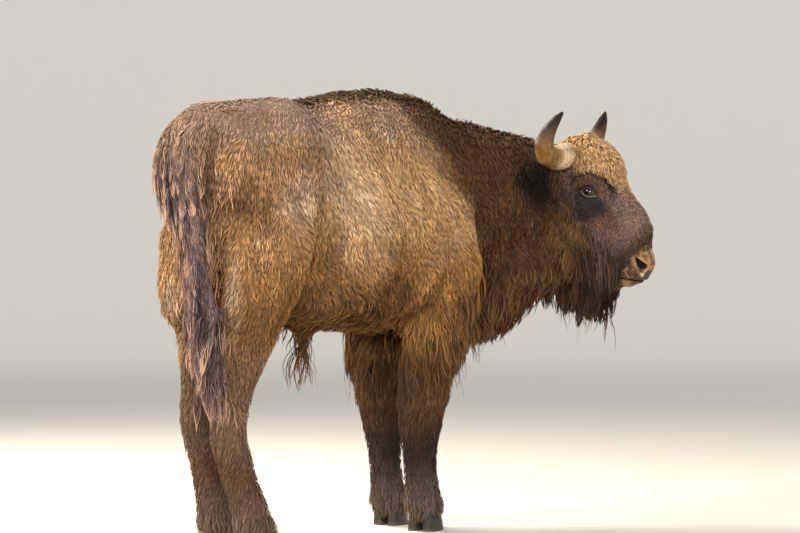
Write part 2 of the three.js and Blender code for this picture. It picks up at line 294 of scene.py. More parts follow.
@dataclass
class Spots:
    """Places on or near the skin, with the way out of it and a share of each region."""

    place: Array
    out: Array
    share: Array

    @property
    def body(self) -> Array:
        """Places counted from under the heart."""
        return self.place - HEART

    @property
    def head(self) -> Array:
        """Places in the head's own frame."""
        return in_head(self.place)

    def of(self, region: Region) -> Array:
        """The share of a region at each place."""
        return self.share[:, REGIONS.index(region)]

    @property
    def legs(self) -> Array:
        """The share of all four legs at each place."""
        return self.of(Region.FORELEGS) + self.of(Region.HINDLEGS)

    def furs(self, name: str) -> Array:
        """A size of the regions' furs, mixed by their shares."""
        return self.share @ np.array([getattr(FURS[r], name) for r in REGIONS])


@dataclass(frozen=True)
class EyePlan:
    """The eye in the head's frame: its middle, its ball and its tilted almond-shaped opening."""

    along: float = 0.228
    side: float = 0.101
    height: float = -0.077
    radius: float = 0.0225
    half_width: float = 0.0335
    upper: float = 0.0158
    lower: float = 0.0134
    tilt: float = 44.0
    ball: tuple[float, float] = (0.0385, 0.0275)

    def middle(self, side: int) -> Array:
        """The middle of an eyeball in the head's frame."""
        return np.array([self.along, side * self.side, self.height])

    def front(self, u: Array, v: Array) -> Array:
        """How far the ball's front stands out at places across it."""
        inside = 1.0 - (u / self.ball[0]) ** 2 - (v / self.ball[1]) ** 2
        return self.radius * np.sqrt(np.maximum(inside, 0.03))

    def axes(self, side: int) -> Array:
        """Rows that point to the front corner, to the brow and outwards."""
        c, s = math.cos(math.radians(self.tilt)), math.sin(math.radians(self.tilt))
        return np.array([[c, 0.0, s], [-s, 0.0, c], [0.0, side, 0.0]])

    def local(self, head: Array, side: int) -> Array:
        """Places in the head's frame counted along the eye's own axes."""
        return (head - self.middle(side)) @ self.axes(side).T

    def outside_lids(self, local: Array) -> Array:
        """Measures how far places are outside the opening between the lids.

        Args:
            local: Places counted along the eye's axes.

        Returns:
            The distances, below 0 inside the opening.
        """
        arch = 1.0 - (local[:, 0] / self.half_width) ** 2
        above = local[:, 1] - self.upper * arch
        below = -local[:, 1] - self.lower * arch
        return np.maximum(above, below)


EYE = EyePlan()


def near(places: Array, middle: Triple, sizes: Triple) -> Array:
    """A bell-shaped weight round a middle, with a size along each axis."""
    return np.exp(-(((places - np.array(middle)) / np.array(sizes)) ** 2).sum(-1))


def mirrored(head: Array) -> Array:
    """Places folded onto one side, with Y as the distance from the midline."""
    folded = head.copy()
    folded[:, 1] = np.abs(folded[:, 1])
    return folded


# ------------------------------ what grows where


@dataclass
class Growth:
    """The coat at each place: depth, length, width, spacing, curl and the way that it lies."""

    depth: Array
    length: Array
    width: Array
    spacing: Array
    curl: Array
    lie: Array


def wool_on_brow(head: Array) -> Array:
    """How far a place is in the curly wool of the poll and forehead, from 0 to 1."""
    edge = (head[:, 2] + 0.033) - 0.53 * (head[:, 0] - 0.184)
    clear, _ = brow_ring(head)
    wool = ease(edge + 0.006 * noise(head, 0.02, 61), -0.018, 0.016) * ease(head[:, 0], 0.4, 0.29)
    return wool * ease(clear + 0.004 * noise(head, 0.015, 68), 0.084, 0.099)


def brow_ring(head: Array) -> tuple[Array, Array]:
    """How far a place is from the middle of the eye's hollow, and how much it is on the brow's side of it."""
    along, up = head[:, 0] - 0.222, head[:, 2] + 0.08
    return np.hypot(along, up), ease(-0.67 * along + 0.74 * up, -0.012, 0.03)


def muzzle(head: Array) -> Array:
    """How far a place is on the short-haired muzzle, from 0 to 1."""
    return ease(head[:, 0] + 0.28 * head[:, 2] + 0.008 * noise(head, 0.014, 67), 0.503, 0.537)


def beside_eye(head: Array) -> Array:
    """How close a place is to an eye, from 0 to 1."""
    return near(mirrored(head), (EYE.along, 0.12, EYE.height), (0.05, 0.08, 0.04))


def crimp(head: Array) -> Array:
    """The waves that cross the hair of forehead and bridge, from -1 to 1."""
    warp = 0.012 * noise(head, 0.045, 62) + 0.004 * noise(head, 0.015, 63)
    waves = np.sin((head[:, 0] + 0.35 * np.abs(head[:, 1]) + warp) * CYCLE / 0.019)
    return waves * ease(head[:, 2], -0.1, -0.03) * ease(head[:, 0], 0.53, 0.48)


def depth_at(spots: Spots) -> Array:
    """The coat's depth over the skin.

    Args:
        spots: Places on the skin.

    Returns:
        The depth at each place.
    """
    head, body = mirrored(spots.head), spots.body
    depth = spots.furs("depth")
    low = ease(body[:, 2], 0.72, 0.2) * spots.legs
    depth = depth + (0.005 - depth) * low
    face = spots.of(Region.HEAD)
    depth = depth + face * 0.016 * wool_on_brow(head)
    depth = depth + face * 0.01 * ease(head[:, 2], -0.12, -0.22) * ease(head[:, 0], 0.56, 0.45)
    depth = depth * (1.0 - face * 0.85 * np.maximum(muzzle(head), beside_eye(head)))
    depth = depth + 0.045 * ease(-spots.out[:, 2], 0.2, 0.8) * spots.of(Region.MANE)
    return np.maximum(depth, 0.0008)


def lie_at(spots: Spots) -> Array:
    """The way that the coat lies at each place, along the skin.

    Args:
        spots: Places on the skin.

    Returns:
        A unit vector for each place.
    """
    body, head, folded = spots.body, spots.head, mirrored(spots.head)
    x, z = body[:, 0], body[:, 2]
    sideways = np.tanh(body[:, 1] / 0.06)
    ahead = 0.18 + 0.75 * np.exp(-(((x + 0.18) / 0.3) ** 2) - ((z - 0.98) / 0.2) ** 2)
    ahead = ahead - 0.95 * ease(z, 1.3, 1.55) + 0.2 * ease(x, 0.0, 0.45)
    ahead = ahead - 0.65 * ease(spots.out[:, 0], -0.35, -0.85)
    lie = np.stack([ahead, np.zeros_like(x), -np.ones_like(x)], 1)
    on_top = ease(spots.out[:, 2], 0.45, 0.9)
    lie = blend(lie, np.stack([-0.75 * np.ones_like(x), 0.65 * sideways, -0.4 * np.ones_like(x)], 1), on_top)
    under = ease(-spots.out[:, 2], 0.5, 0.9)
    lie = blend(lie, np.array([-0.9, 0.0, -0.5]), under * spots.of(Region.TRUNK))
    lie = blend(lie, np.array([-0.12, 0.0, -1.0]), spots.of(Region.NECK) * ease(spots.out[:, 2], 0.8, 0.4))

    side = np.sign(head[:, 1])
    fan = np.stack([np.ones_like(x), 0.45 * np.tanh(head[:, 1] / 0.03), 0.0 * x], 1)
    fan[:, 2] = -0.25 * ease(folded[:, 1], 0.02, 0.08)
    down = DOWN @ HEAD[:3, :3]
    cheek = np.array([0.35, 0.0, 0.0]) + down
    face = blend(fan, cheek, ease(head[:, 2], -0.015, -0.085))
    muzzled = np.stack([-np.ones_like(x), 0.5 * side, -0.5 * np.ones_like(x)], 1)
    face = blend(face, muzzled, muzzle(folded))
    lie = blend(lie, face @ HEAD[:3, :3].T, spots.of(Region.HEAD))
    ear = np.stack([-0.15 + 0.0 * x, side, -0.1 + 0.0 * x], 1)
    lie = blend(lie, ear @ HEAD[:3, :3].T, spots.of(Region.EARS))
    hang = sum(spots.of(region) for region in HANGING)
    lie = blend(lie, np.array([-0.05, 0.0, -1.0]), np.clip(hang, 0, 1))
    lie = blend(lie, np.array([-0.1, 0.0, -1.0]), spots.legs * ease(z, 0.85, 0.55))

    turn = 0.5 * noise(spots.place, 0.16, 3) + 0.36 * noise(spots.place, 0.06, 4)
    turn = turn + 0.18 * noise(spots.place, 0.03, 5)
    turn = turn * (1.0 - 0.6 * on_top) + 0.45 * spots.of(Region.HEAD) * crimp(head)
    lie = lie - spots.out * (lie * spots.out).sum(1)[:, None]
    lie = unit(lie)
    across = np.cross(spots.out, lie)
    return unit(lie * np.cos(turn)[:, None] + across * np.sin(turn)[:, None])


def growth_at(spots: Spots) -> Growth:
    """Works out the coat at each place.

    Args:
        spots: Places on the skin.

    Returns:
        What grows there.
    """
    body, head = spots.body, mirrored(spots.head)
    x, z = body[:, 0], body[:, 2]
    length, width, spacing = spots.furs("length"), spots.furs("width"), spots.furs("spacing")
    trunk, face = spots.of(Region.TRUNK), spots.of(Region.HEAD)
    low = ease(z, 0.6, 0.26) * spots.legs
    length = length + (0.034 - length) * low
    width = width + (0.0042 - width) * low
    spacing = spacing + (0.0082 - spacing) * low
    fetlock = spots.legs * ease(z, 0.05, 0.08) * ease(z, 0.17, 0.12)
    length = length + 0.014 * fetlock
    shaggy = spots.of(Region.FORELEGS) * ease(z, 0.33, 0.44) * ease(z, 0.95, 0.7)
    length = length + 0.028 * shaggy
    croup = trunk * ease(spots.out[:, 2], 0.35, 0.8) * ease(x, -0.3, -0.5)
    length, width = length * (1.0 - 0.25 * croup), width * (1.0 - 0.28 * croup)
    crest = trunk * ease(spots.out[:, 2], 0.8, 0.97) * ease(x, -0.5, -0.3)
    length = length * (1.0 - 0.28 * trunk * ease(z, 1.38, 1.52)) + 0.035 * crest
    wool = wool_on_brow(head) * face
    length = length + 0.022 * wool + 0.022 * face * ease(head[:, 2], -0.1, -0.2)
    width = width + 0.0016 * wool + 0.001 * face * ease(head[:, 2], -0.1, -0.2)
    spacing = spacing + 0.0012 * wool
    bare = np.maximum(muzzle(head), beside_eye(head)) * face
    length = length + (0.0085 - length) * bare
    width = width + (0.0024 - width) * bare
    spacing = spacing + (0.0034 - spacing) * bare
    bridge = face * ease(head[:, 2], -0.12, -0.05) * ease(head[:, 0], 0.2, 0.29)
    bridge = bridge * (1.0 - wool) * (1.0 - bare)
    length = length + (0.033 - length) * bridge
    width = width + (0.003 - width) * bridge
    spacing = spacing + (0.005 - spacing) * bridge
    curl = 0.16 + 0.5 * wool + 0.15 * spots.of(Region.NECK)
    return Growth(depth_at(spots) + 0.011 * low, length, width, spacing, curl, lie_at(spots))


# ------------------------------ markings, with painted light and shade


@dataclass(frozen=True)
class Palette:
    """The colours of coat, face, horns, claws and eyes."""

    tan: str = "#cba274"
    pale: str = "#dcc0a2"
    golden: str = "#b08048"
    umber: str = "#76502a"
    haunch: str = "#96735a"
    rosy_grey: str = "#a89085"
    crest: str = "#4b3626"
    neck: str = "#553824"
    black: str = "#150e0a"
    wool: str = "#c49e73"
    wool_low: str = "#866a52"
    bridge: str = "#8e746a"
    cheek: str = "#725c58"
    jaw: str = "#3a291c"
    blue_black: str = "#2e2930"
    brow: str = "#5c4429"
    ochre: str = "#a07c52"
    lip: str = "#4b392c"
    nose: str = "#2a201c"
    lid_rim_and_nose_glint: str = "#a8948c"
    foreleg: str = "#5c402b"
    shank: str = "#3c2e27"
    hind_shank: str = "#7d624f"
    tail: str = "#7c6663"
    tail_dark: str = "#3a3037"
    tail_tip: str = "#d6ab90"
    beard_tip: str = "#7f6039"
    horn: str = "#80602f"
    horn_worn: str = "#b08a55"
    horn_base: str = "#e2c8a8"
    horn_grain: str = "#4c3219"
    horn_groove: str = "#5e4226"
    horn_dark: str = "#54361c"
    horn_tip: str = "#15100d"
    claw: str = "#2f2926"
    claw_worn: str = "#463d36"
    claw_crown: str = "#241e1b"
    claw_sole: str = "#6b5e53"
    eye_white: str = "#3a2823"
    iris_rim: str = "#140c08"
    iris: str = "#2c1a0f"
    pupil: str = "#050506"
    eye_back: str = "#3a2620"


COAT = {name: np.array(linear(code)) for name, code in vars(Palette()).items()}


def plain(name: str, count: int) -> Array:
    """One colour of the palette, for so many places."""
    return np.tile(COAT[name], (count, 1))


def lay(shade: Array, name: str, share: Array, level: float = 1.0) -> Array:
    """Lays a colour of the palette over others.

    Args:
        shade: The colours below it, one row for each place.
        name: The colour.
        share: How much it covers them at each place, from 0 to 1.
        level: How light the colour is laid, as a share of its own lightness.

    Returns:
        The new colours.
    """
    return blend(shade, COAT[name] * level, share)


# Height above the floor, and how far ahead of the heart the pale shoulder gives way to the dark neck there.
SHOULDER_EDGE = (
    (0.66, 0.2), (0.76, 0.22), (0.89, 0.28), (0.94, 0.4), (1.0, 0.51),
    (1.06, 0.565), (1.16, 0.545), (1.27, 0.43), (1.4, 0.28), (1.6, 0.2),
)

# The front edge of haunch and thigh: height above the floor, and how far ahead of the heart it is there.
FRONT_EDGE = (
    (0.78, -0.86), (0.86, -0.83), (0.94, -0.79), (1.04, -0.72), (1.15, -0.665), (1.24, -0.635),
    (1.32, -0.61), (1.37, -0.615), (1.44, -0.575), (1.49, -0.55), (1.54, -0.62), (1.58, -0.68),
)


def behind(body: Array) -> tuple[Array, Array]:
    """Measures places against the front edge of the hindquarters.

    Args:
        body: Places counted from under the heart.

    Returns:
        The distances behind it, and how much the edge counts at each height, from 0 to 1.
    """
    z = body[:, 2]
    strength = ease(z, 0.76, 0.88) * ease(z, 1.6, 1.53)
    strength = strength * (1.0 - 0.35 * near(body[:, 2:], (1.2,), (0.06,)))
    return np.interp(z, *np.array(FRONT_EDGE).T) - body[:, 0] + 0.01 * noise(body, 0.06, 66), strength


def quarters(places: Array, normal: Array) -> Array:
    """Raises haunch and thigh over the flank in front of them.

    Args:
        places: Places counted from under the heart.
        normal: The way out of the skin at each.

    Returns:
        The moved places.
    """
    off, strength = behind(places)
    raised = 0.03 * ease(off, -0.02, 0.025) * ease(off, 0.28, 0.09)
    groove = 0.032 * np.exp(-(((off + 0.048) / 0.042) ** 2))
    step = (raised - groove) * strength * ease(np.abs(places[:, 1]), 0.06, 0.14)
    return places + normal * step[:, None]


def markings(spots: Spots) -> Array:
    """The coat's colour at each place, with light and shade painted into it.

    Args:
        spots: Places on the skin.

    Returns:
        Linear colours, one row for each place.
    """
    body, head, place = spots.body, mirrored(spots.head), spots.place
    x, z = body[:, 0], body[:, 2]
    broad, patchy, fine = noise(place, 0.22, 11), noise(place, 0.075, 12), noise(place, 0.028, 13)
    shade = plain("tan", len(place))

    # The side of the trunk: pale over shoulder and flank, golden and then umber towards the belly, with
    # painted highlights and painted shade on haunch, hip and flank.
    shade = lay(shade, "pale", 0.35 * ease(patchy + 0.5 * broad, 0.1, 0.9))
    shade = lay(shade, "golden", 0.85 * ease(z + 0.05 * patchy, 1.16, 0.96))
    shade = lay(shade, "umber", 0.95 * ease(z + 0.05 * patchy, 1.0, 0.86), 0.88)
    haunch = ease(x, -0.52, -0.66)
    shade = lay(shade, "golden", 0.45 * haunch * ease(z, 1.46, 1.34))
    shade = lay(shade, "umber", 0.28 * haunch * ease(z, 1.22, 1.08) * ease(patchy, -0.8, 0.4))
    side = body[:, [0, 2]] + 0.03 * np.stack([patchy, fine], 1)
    # painted highlights on the front of the haunch, on the hip and on the flank
    painted_highlight = near(side, (-0.745, 1.255), (0.075, 0.085)) + 0.8 * near(side, (-0.5, 1.5), (0.05, 0.04))
    painted_highlight = painted_highlight + 0.5 * near(side, (-0.38, 1.27), (0.14, 0.22))
    shade = lay(shade, "pale", np.clip(1.1 * painted_highlight, 0, 0.95), 1.15)
    # painted shade in the dip behind the thigh's muscle, with random darker patches over the haunch
    dip_shade_and_patches = near(side, (-0.96, 1.235), (0.055, 0.055)) + 0.8 * near(side, (-0.86, 1.19), (0.06, 0.06))
    dip_shade_and_patches = np.clip(0.95 * dip_shade_and_patches + 0.3 * ease(patchy, 0.25, 0.8) * haunch, 0, 0.9)
    shade = lay(shade, "umber", dip_shade_and_patches, 0.6)
    # painted shade in the hollow in front of the fold from flank to stifle
    shade = lay(shade, "umber", 0.65 * near(side, (-0.52, 1.06), (0.08, 0.12)), 0.8)
    # painted shadow on the ribs above and behind the elbow
    shade = lay(shade, "umber", 0.6 * near(side, (-0.17, 1.09), (0.06, 0.11)), 0.8)
    shade = quarter_markings(body, shade)
    shade = lay(shade, "rosy_grey", 0.72 * ease(z + 0.05 * patchy, 1.38, 1.52) * ease(x, -0.15, -0.45))
    shade = lay(shade, "umber", 0.45 * near(side, (-0.93, 1.53), (0.1, 0.05)))
    shade = lay(shade, "rosy_grey", 0.5 * ease(z + 0.03 * patchy, 1.4, 1.54) * ease(x, -0.3, 0.0))
    spine = ease(np.abs(body[:, 1]) + 0.02 * fine, 0.085, 0.03) * ease(z, 1.52, 1.58)
    spine = spine * ease(x, -0.66, -0.42)
    shade = lay(shade, "crest", 0.92 * spine * (spots.of(Region.TRUNK) + spots.of(Region.NECK)))

    # The dark neck, mane and chest, and a painted black shadow behind the horns.
    ahead = dark_front(body, patchy, fine)
    shade = lay(shade, "neck", 0.97 * ahead)
    shade = lay(shade, "umber", 0.4 * ahead * ease(patchy, 0.2, 0.8))
    shade = lay(shade, "beard_tip", 0.78 * near(head, (0.315, 0.13, -0.245), (0.065, 0.08, 0.055)), 1.3)
    shade = leg_markings(spots, shade, fine, ahead)
    # painted shade in the fold where the elbow meets the belly
    fold = near(side, (-0.13, 0.895), (0.13, 0.1)) * ease(body[:, 2], 0.74, 0.82)
    shade = lay(shade, "umber", 0.88 * fold, 0.45)
    shade = face_markings(spots, shade, patchy, fine)
    return lay(shade, "black", np.clip(1.6 * shade_behind_horn(head), 0, 0.985))


def shade_behind_horn(head: Array) -> Array:
    """How far a place is in the painted black shadow round the ear, behind the horn, from 0 to 1."""
    low = near(head, (0.125, 0.21, -0.2), (0.085, 0.085, 0.066))
    return low + 0.45 * near(head, (0.05, 0.24, -0.21), (0.07, 0.08, 0.06))


def quarter_markings(body: Array, shade: Array) -> Array:
    """Adds the browner haunch and thigh, a painted shade line at their front edge and a painted highlight on
    the flank before it.

    Args:
        body: Places counted from under the heart.
        shade: The colours so far.

    Returns:
        The new colours.
    """
    off, strength = behind(body)
    high = ease(body[:, 2], 1.18, 1.28)
    shade = lay(shade, "haunch", (0.2 + 0.35 * high) * strength * ease(off, -0.01, 0.03))
    # a painted highlight on the flank just in front of the edge
    shade = lay(shade, "pale", 0.4 * high * strength * np.exp(-(((off + 0.13) / 0.06) ** 2)), 0.92)
    # a painted shade line along the edge
    line = (0.7 + 0.25 * high) * strength * np.exp(-(((off + 0.008) / 0.018) ** 2))
    return lay(shade, "umber", line, 0.5)


def dark_front(body: Array, patchy: Array, fine: Array) -> Array:
    """How far a place lies in front of the pale shoulder, from 0 to 1.

    Args:
        body: Places counted from under the heart.
        patchy: Noise in palm-sized lumps, which frays the edge.
        fine: Noise in thumb-sized lumps.

    Returns:
        The shares.
    """
    edge = np.interp(body[:, 2], *np.array(SHOULDER_EDGE).T)
    soft = 0.09 + 0.13 * ease(body[:, 2], 1.05, 1.4)
    off = (body[:, 0] - edge + 0.06 * patchy + 0.05 * fine) / soft
    return ease(off, -1.0, 1.0) * ease(body[:, 0], 0.1, 0.2) * ease(body[:, 2], 0.58, 0.66)


def beside_tail(spots: Spots) -> Array:
    """How far a place on the trunk is in the long hair beside the tail, from 0 to 1."""
    low = spots.of(Region.TRUNK) + 0.7 * spots.of(Region.HINDLEGS)
    high = ease(spots.body[:, 2], 1.02, 1.14)
    return low * high * np.clip(1.3 * near(spots.body, (-1.03, 0.075, 1.26), (0.13, 0.125, 0.22)), 0, 1)


def leg_markings(spots: Spots, shade: Array, fine: Array, ahead: Array) -> Array:
    """Adds the legs' and tail's colours to the coat's, with painted shade on the legs' inner sides, on the
    tail's left side and in the crease beside it, and a painted rim of light on the back of the hind legs.

    Args:
        spots: Places on the skin.
        shade: The colours so far.
        fine: Noise in thumb-sized lumps.
        ahead: How far each place is in front of the pale shoulder.

    Returns:
        The new colours.
    """
    z = spots.body[:, 2] + 0.02 * fine
    fore, hind = spots.of(Region.FORELEGS) * (1.0 - ahead), spots.of(Region.HINDLEGS)
    shade = lay(shade, "golden", 0.8 * fore * ease(z, 0.62, 0.8), 0.9)
    shade = lay(shade, "foreleg", fore * ease(z, 0.8, 0.64))
    shade = lay(shade, "shank", fore * ease(z, 0.5, 0.34))
    shade = lay(shade, "hind_shank", hind * ease(z, 0.82, 0.58))
    shade = lay(shade, "foreleg", 0.7 * hind * ease(z, 0.44, 0.28))
    # painted shade on the legs' inner sides, which face the other legs
    inward = ease(-spots.out[:, 1] * np.sign(spots.body[:, 1]), 0.1, 0.8)
    shade = shade * (1.0 - 0.3 * inward * np.clip(fore + hind, 0, 1) * ease(z, 0.95, 0.75))[:, None]
    # a painted rim of light on the back of the hind legs and thighs
    painted_rim_light = hind * ease(-spots.out[:, 0], 0.7, 0.98) * ease(z, 0.66, 0.85) * ease(z, 1.18, 1.06)
    shade = lay(shade, "pale", 0.55 * painted_rim_light)
    fetlock = (fore + hind) * ease(z, 0.3, 0.1)
    shade = lay(shade, "rosy_grey", 0.62 * fetlock, 0.55)
    tail = spots.of(Region.TAIL) + spots.of(Region.TAIL_TUFT)
    tail = np.clip(tail + beside_tail(spots), 0, 1)
    shade = lay(shade, "tail", tail * ease(z, 1.56, 1.3))
    streaks = noise(spots.place * np.array([1.0, 1.0, 0.15]), 0.02, 71)
    deeper = 0.72 + 0.26 * ease(z, 1.1, 0.9)
    streaks = streaks + 0.18 * ease(z, 1.1, 0.9) + 0.15 * ease(z, 1.25, 1.45)
    shade = lay(shade, "tail_dark", deeper * ease(streaks, -0.25, 0.35) * tail * ease(z, 1.5, 1.2))
    # painted shade on the tail's left side near its root
    shade = lay(shade, "tail_dark", 0.45 * tail * ease(spots.body[:, 1], -0.01, 0.09) * ease(z, 1.46, 1.34))
    # painted shade in the crease between the tail and the right buttock
    crease_shade = near(spots.body, (-1.03, -0.075, 1.33), (0.06, 0.026, 0.19))
    shade = lay(shade, "umber", 0.8 * np.clip(crease_shade, 0, 1), 0.4)
    return lay(shade, "umber", 0.8 * spots.of(Region.SHEATH), 0.6)


def face_markings(spots: Spots, shade: Array, patchy: Array, fine: Array) -> Array:
    """Adds the face's colours to the coat's: golden wool, dark bridge and cheeks, ochre muzzle, painted light
    and shade along the crimp, painted shade in the folds over the eye, in the nostrils and between the lips,
    and a painted glint below the nostril.

    Args:
        spots: Places on the skin.
        shade: The colours so far.
        patchy: Noise in palm-sized lumps.
        fine: Noise in thumb-sized lumps.

    Returns:
        The new colours.
    """
    head = mirrored(spots.head)
    face = np.clip(spots.of(Region.HEAD) * 1.4, 0, 1)
    x, y, z = head.T
    side = ease(z, 0.0, -0.07)
    inner = blend(plain("bridge", len(x)), COAT["cheek"], side)
    inner = lay(inner, "jaw", ease(z + 0.02 * patchy, -0.15, -0.22))
    inner = lay(inner, "beard_tip", 0.85 * near(head, (0.31, 0.13, -0.24), (0.09, 0.1, 0.06)))
    inner = lay(inner, "jaw", 0.85 * ease(x + 0.3 * z, 0.42, 0.49))
    wool = blend(plain("wool", len(x)), COAT["wool_low"], ease(x + 0.4 * y, 0.19, 0.31))
    inner = inner + (wool - inner) * wool_on_brow(head)[:, None]
    inner = lay(inner, "black", 0.85 * near(head, (0.545, 0.07, -0.165), (0.045, 0.07, 0.06)))
    brown = 0.6 * ease(patchy + 0.6 * fine, 0.0, 0.8) * side * ease(x, 0.52, 0.44)
    inner = lay(inner, "umber", brown, 1.15)
    # painted light and shade along the crimp's waves
    inner = inner * (1.0 + 0.28 * crimp(head))[:, None]
    local = EYE.local(head, 1)
    rim, level = EYE.outside_lids(local), np.abs(local[:, 2]) < 0.05
    patch = near(head, (0.258, 0.11, -0.134), (0.046, 0.1, 0.036))
    patch = patch + near(head, (0.285, 0.11, -0.076), (0.032, 0.1, 0.036))
    patch = patch + near(head, (0.192, 0.12, -0.095), (0.034, 0.1, 0.026))
    inner = lay(inner, "blue_black", np.clip(1.6 * patch, 0, 0.97))
    ring, brow = brow_ring(head)
    band = 0.8 * brow * ease(ring, 0.024, 0.034) * ease(ring, 0.074, 0.062) * (y > 0.05)
    inner = lay(inner, "brow", band)
    # painted shade in the fold that arches over the eye, below the brow
    arch = np.exp(-(((ring - 0.083) / 0.012) ** 2)) * brow * (y > 0.05)
    inner = lay(inner, "black", np.clip(1.15 * arch, 0, 0.92))
    # painted shade in the fold above the upper lid
    crease_shade = np.exp(-(((rim - 0.0088) / 0.002) ** 2)) * (local[:, 1] > 0) * level
    inner = lay(inner, "black", 0.7 * crease_shade)

    # The muzzle: ochre round the nostril and on the lower lip, grey-brown between, a dark wet nose, a painted
    # glint below the nostril and painted shade in the nostril and between the lips.
    slit = mouth_line(head)
    muzzled = muzzle(head)
    inner = lay(inner, "lip", muzzled * ease(slit, -0.004, 0.004))
    speckle = 0.8 * noise(head, 0.008, 64) + 0.8 * noise(head, 0.017, 65)
    inner = lay(inner, "ochre", muzzled * ease(z + 0.006 * fine + 0.008 * speckle, -0.064, -0.036))
    inner = lay(inner, "jaw", 0.85 * muzzled * ease(speckle, -0.1, 0.8))
    inner = lay(inner, "tan", 0.45 * muzzled * ease(speckle, -0.3, -0.9))
    low = near(head, (0.612, 0.03, -0.12), (0.026, 0.045, 0.022)) * ease(slit, 0.002, -0.004)
    inner = lay(inner, "ochre", np.clip(1.4 * low, 0, 1) * ease(speckle, 1.0, -0.2), 0.9)
    # a painted wet glint below the nostril
    inner = lay(inner, "lid_rim_and_nose_glint", 0.9 * near(head, (0.609, 0.049, -0.046), (0.008, 0.02, 0.006)), 2.0)
    inner = lay(inner, "nose", nose_pad(head))
    # painted shade inside the nostril
    inner = lay(inner, "black", ease(NOSTRIL.inside(head), 0.08, 0.65), 0.5)
    # painted shade in the gap between the lips
    inner = lay(inner, "black", np.exp(-((slit / 0.0032) ** 2)) * ease(x, 0.572, 0.582))
    lids = ease(rim, 0.014, 0.003) * level
    inner = lay(inner, "nose", 0.9 * lids)
    lower = ease(rim, 0.003, 0.0014) * ease(local[:, 1], 0.0, -0.006)
    corner = near(local[:, :2], (0.03, -0.003), (0.006, 0.004))
    upper = 0.35 * ease(rim, 0.0036, 0.0018) * ease(local[:, 1], 0.0, 0.006)
    inner = lay(inner, "lid_rim_and_nose_glint", np.clip(0.8 * lower + upper + corner, 0, 0.88) * level)
    shade = blend(shade, inner, face)
    beard = np.clip(spots.of(Region.BEARD), 0, 1)
    shade = lay(shade, "jaw", 0.85 * beard, 0.8)
    chin = near(head, (0.6, 0.0, -0.2), (0.06, 0.08, 0.07))
    return lay(shade, "black", np.clip(1.1 * chin * np.maximum(beard, 0.4 * face), 0, 0.9))


def mouth_line(head: Array) -> Array:
    """How far a place in the head's frame is above the plane that parts the lips."""
    return ((head[:, 2] + 0.116) - (head[:, 0] - 0.592) * 1.45) / 1.76


def nose_pad(head: Array) -> Array:
    """How far a place is on the wet skin between and below the nostrils, from 0 to 1."""
    reach = head[:, 0] - 0.25 * (head[:, 2] + 0.03)
    return ease(reach, 0.594, 0.606) * ease(head[:, 1], 0.042, 0.03) * ease(mouth_line(head), 0.0, 0.004)


# ------------------------------ the skin


@dataclass
class Flesh:
    """The solids that the skin covers, as one set of triangles, and the region that each is from."""

    places: Array
    tris: Array
    region: Array

    @classmethod
    def from_frame(cls, grown: float = 1.5 * MM) -> "Flesh":
        """Gathers the flesh solids, with the tips of hanging hair drawn up.

        Args:
            grown: How far the solids are grown, so that they overlap.

        Returns:
            The flesh.
        """
        places, tris, region, count = [], [], [], 0
        owners = [(node, number) for number, r in enumerate(REGIONS) for node in r.value]
        owners += [(node, REGIONS.index(Region.HEAD)) for node in ("eye_right", "eye_left")]
        for node, number in owners:
            found, faces = solid_of(node, grown)
            if node in CORE_ABOVE:
                floor = found[:, 2].min() + CORE_ABOVE[node]
                drawn = floor + TIPS_LEFT * (found[:, 2] - floor)
                found[:, 2] = np.where(found[:, 2] < floor, drawn, found[:, 2])
            places.append(found)
            tris.append(faces + count)
            region.append(np.full(len(faces), number))
            count += len(found)
        return cls(np.concatenate(places), np.concatenate(tris), np.concatenate(region))

    def shares(self, places: Array, edges: Array, rounds: int = 7) -> Array:
        """Works out the share of each region over a mesh.

        Args:
            places: The mesh's vertices.
            edges: Pairs of them.
            rounds: How many times the shares are smoothed.

        Returns:
            A row of shares for each vertex.
        """
        tree = BVHTree.FromPolygons(self.places.tolist(), self.tris.tolist())
        nearest = np.array([tree.find_nearest(place)[2] for place in places.tolist()])
        share = np.eye(len(REGIONS))[self.region[nearest]]
        return relaxed(share, edges, rounds)


def relaxed(
    values: Array, edges: Array, rounds: int, share: float = 0.5, only: Array | None = None
) -> Array:
    """Moves each row of values towards the mean of its neighbours, again and again.

    Args:
        values: One row for each vertex.
        edges: Pairs of vertices.
        rounds: How many times.
        share: How far towards the mean each time.
        only: How much of the movement each vertex takes, if not all of it.

    Returns:
        The new values.
    """
    count = len(values)
    degree = np.maximum(np.bincount(edges.ravel(), minlength=count), 1)
    hold = share if only is None else share * only[:, None]
    for _ in range(rounds):
        total = np.empty_like(values)
        for column in range(values.shape[1]):
            total[:, column] = np.bincount(edges[:, 0], values[edges[:, 1], column], count)
            total[:, column] += np.bincount(edges[:, 1], values[edges[:, 0], column], count)
        values = values + hold * (total / degree[:, None] - values)
    return values


def remeshed(places: Array, tris: Array, voxel: float, name: str) -> bpy.types.Mesh:
    """Wraps overlapping closed meshes in one even mesh of small squares.

    Args:
        places: The meshes' vertices.
        tris: Their triangles.
        voxel: The squares' size.
        name: The mesh's name.

    Returns:
        The new mesh.
    """
    source = bpy.data.meshes.new(name)
    source.from_pydata(places.tolist(), [], tris.tolist())
    holder = link(source, name)
    wrap = holder.modifiers.new("wrap", "REMESH")
    wrap.mode = "VOXEL"
    wrap.voxel_size = voxel
    wrap.adaptivity = 0.0
    made = bpy.data.meshes.new_from_object(holder.evaluated_get(bpy.context.evaluated_depsgraph_get()))
    bpy.data.objects.remove(holder)
    bpy.data.meshes.remove(source)
    return made


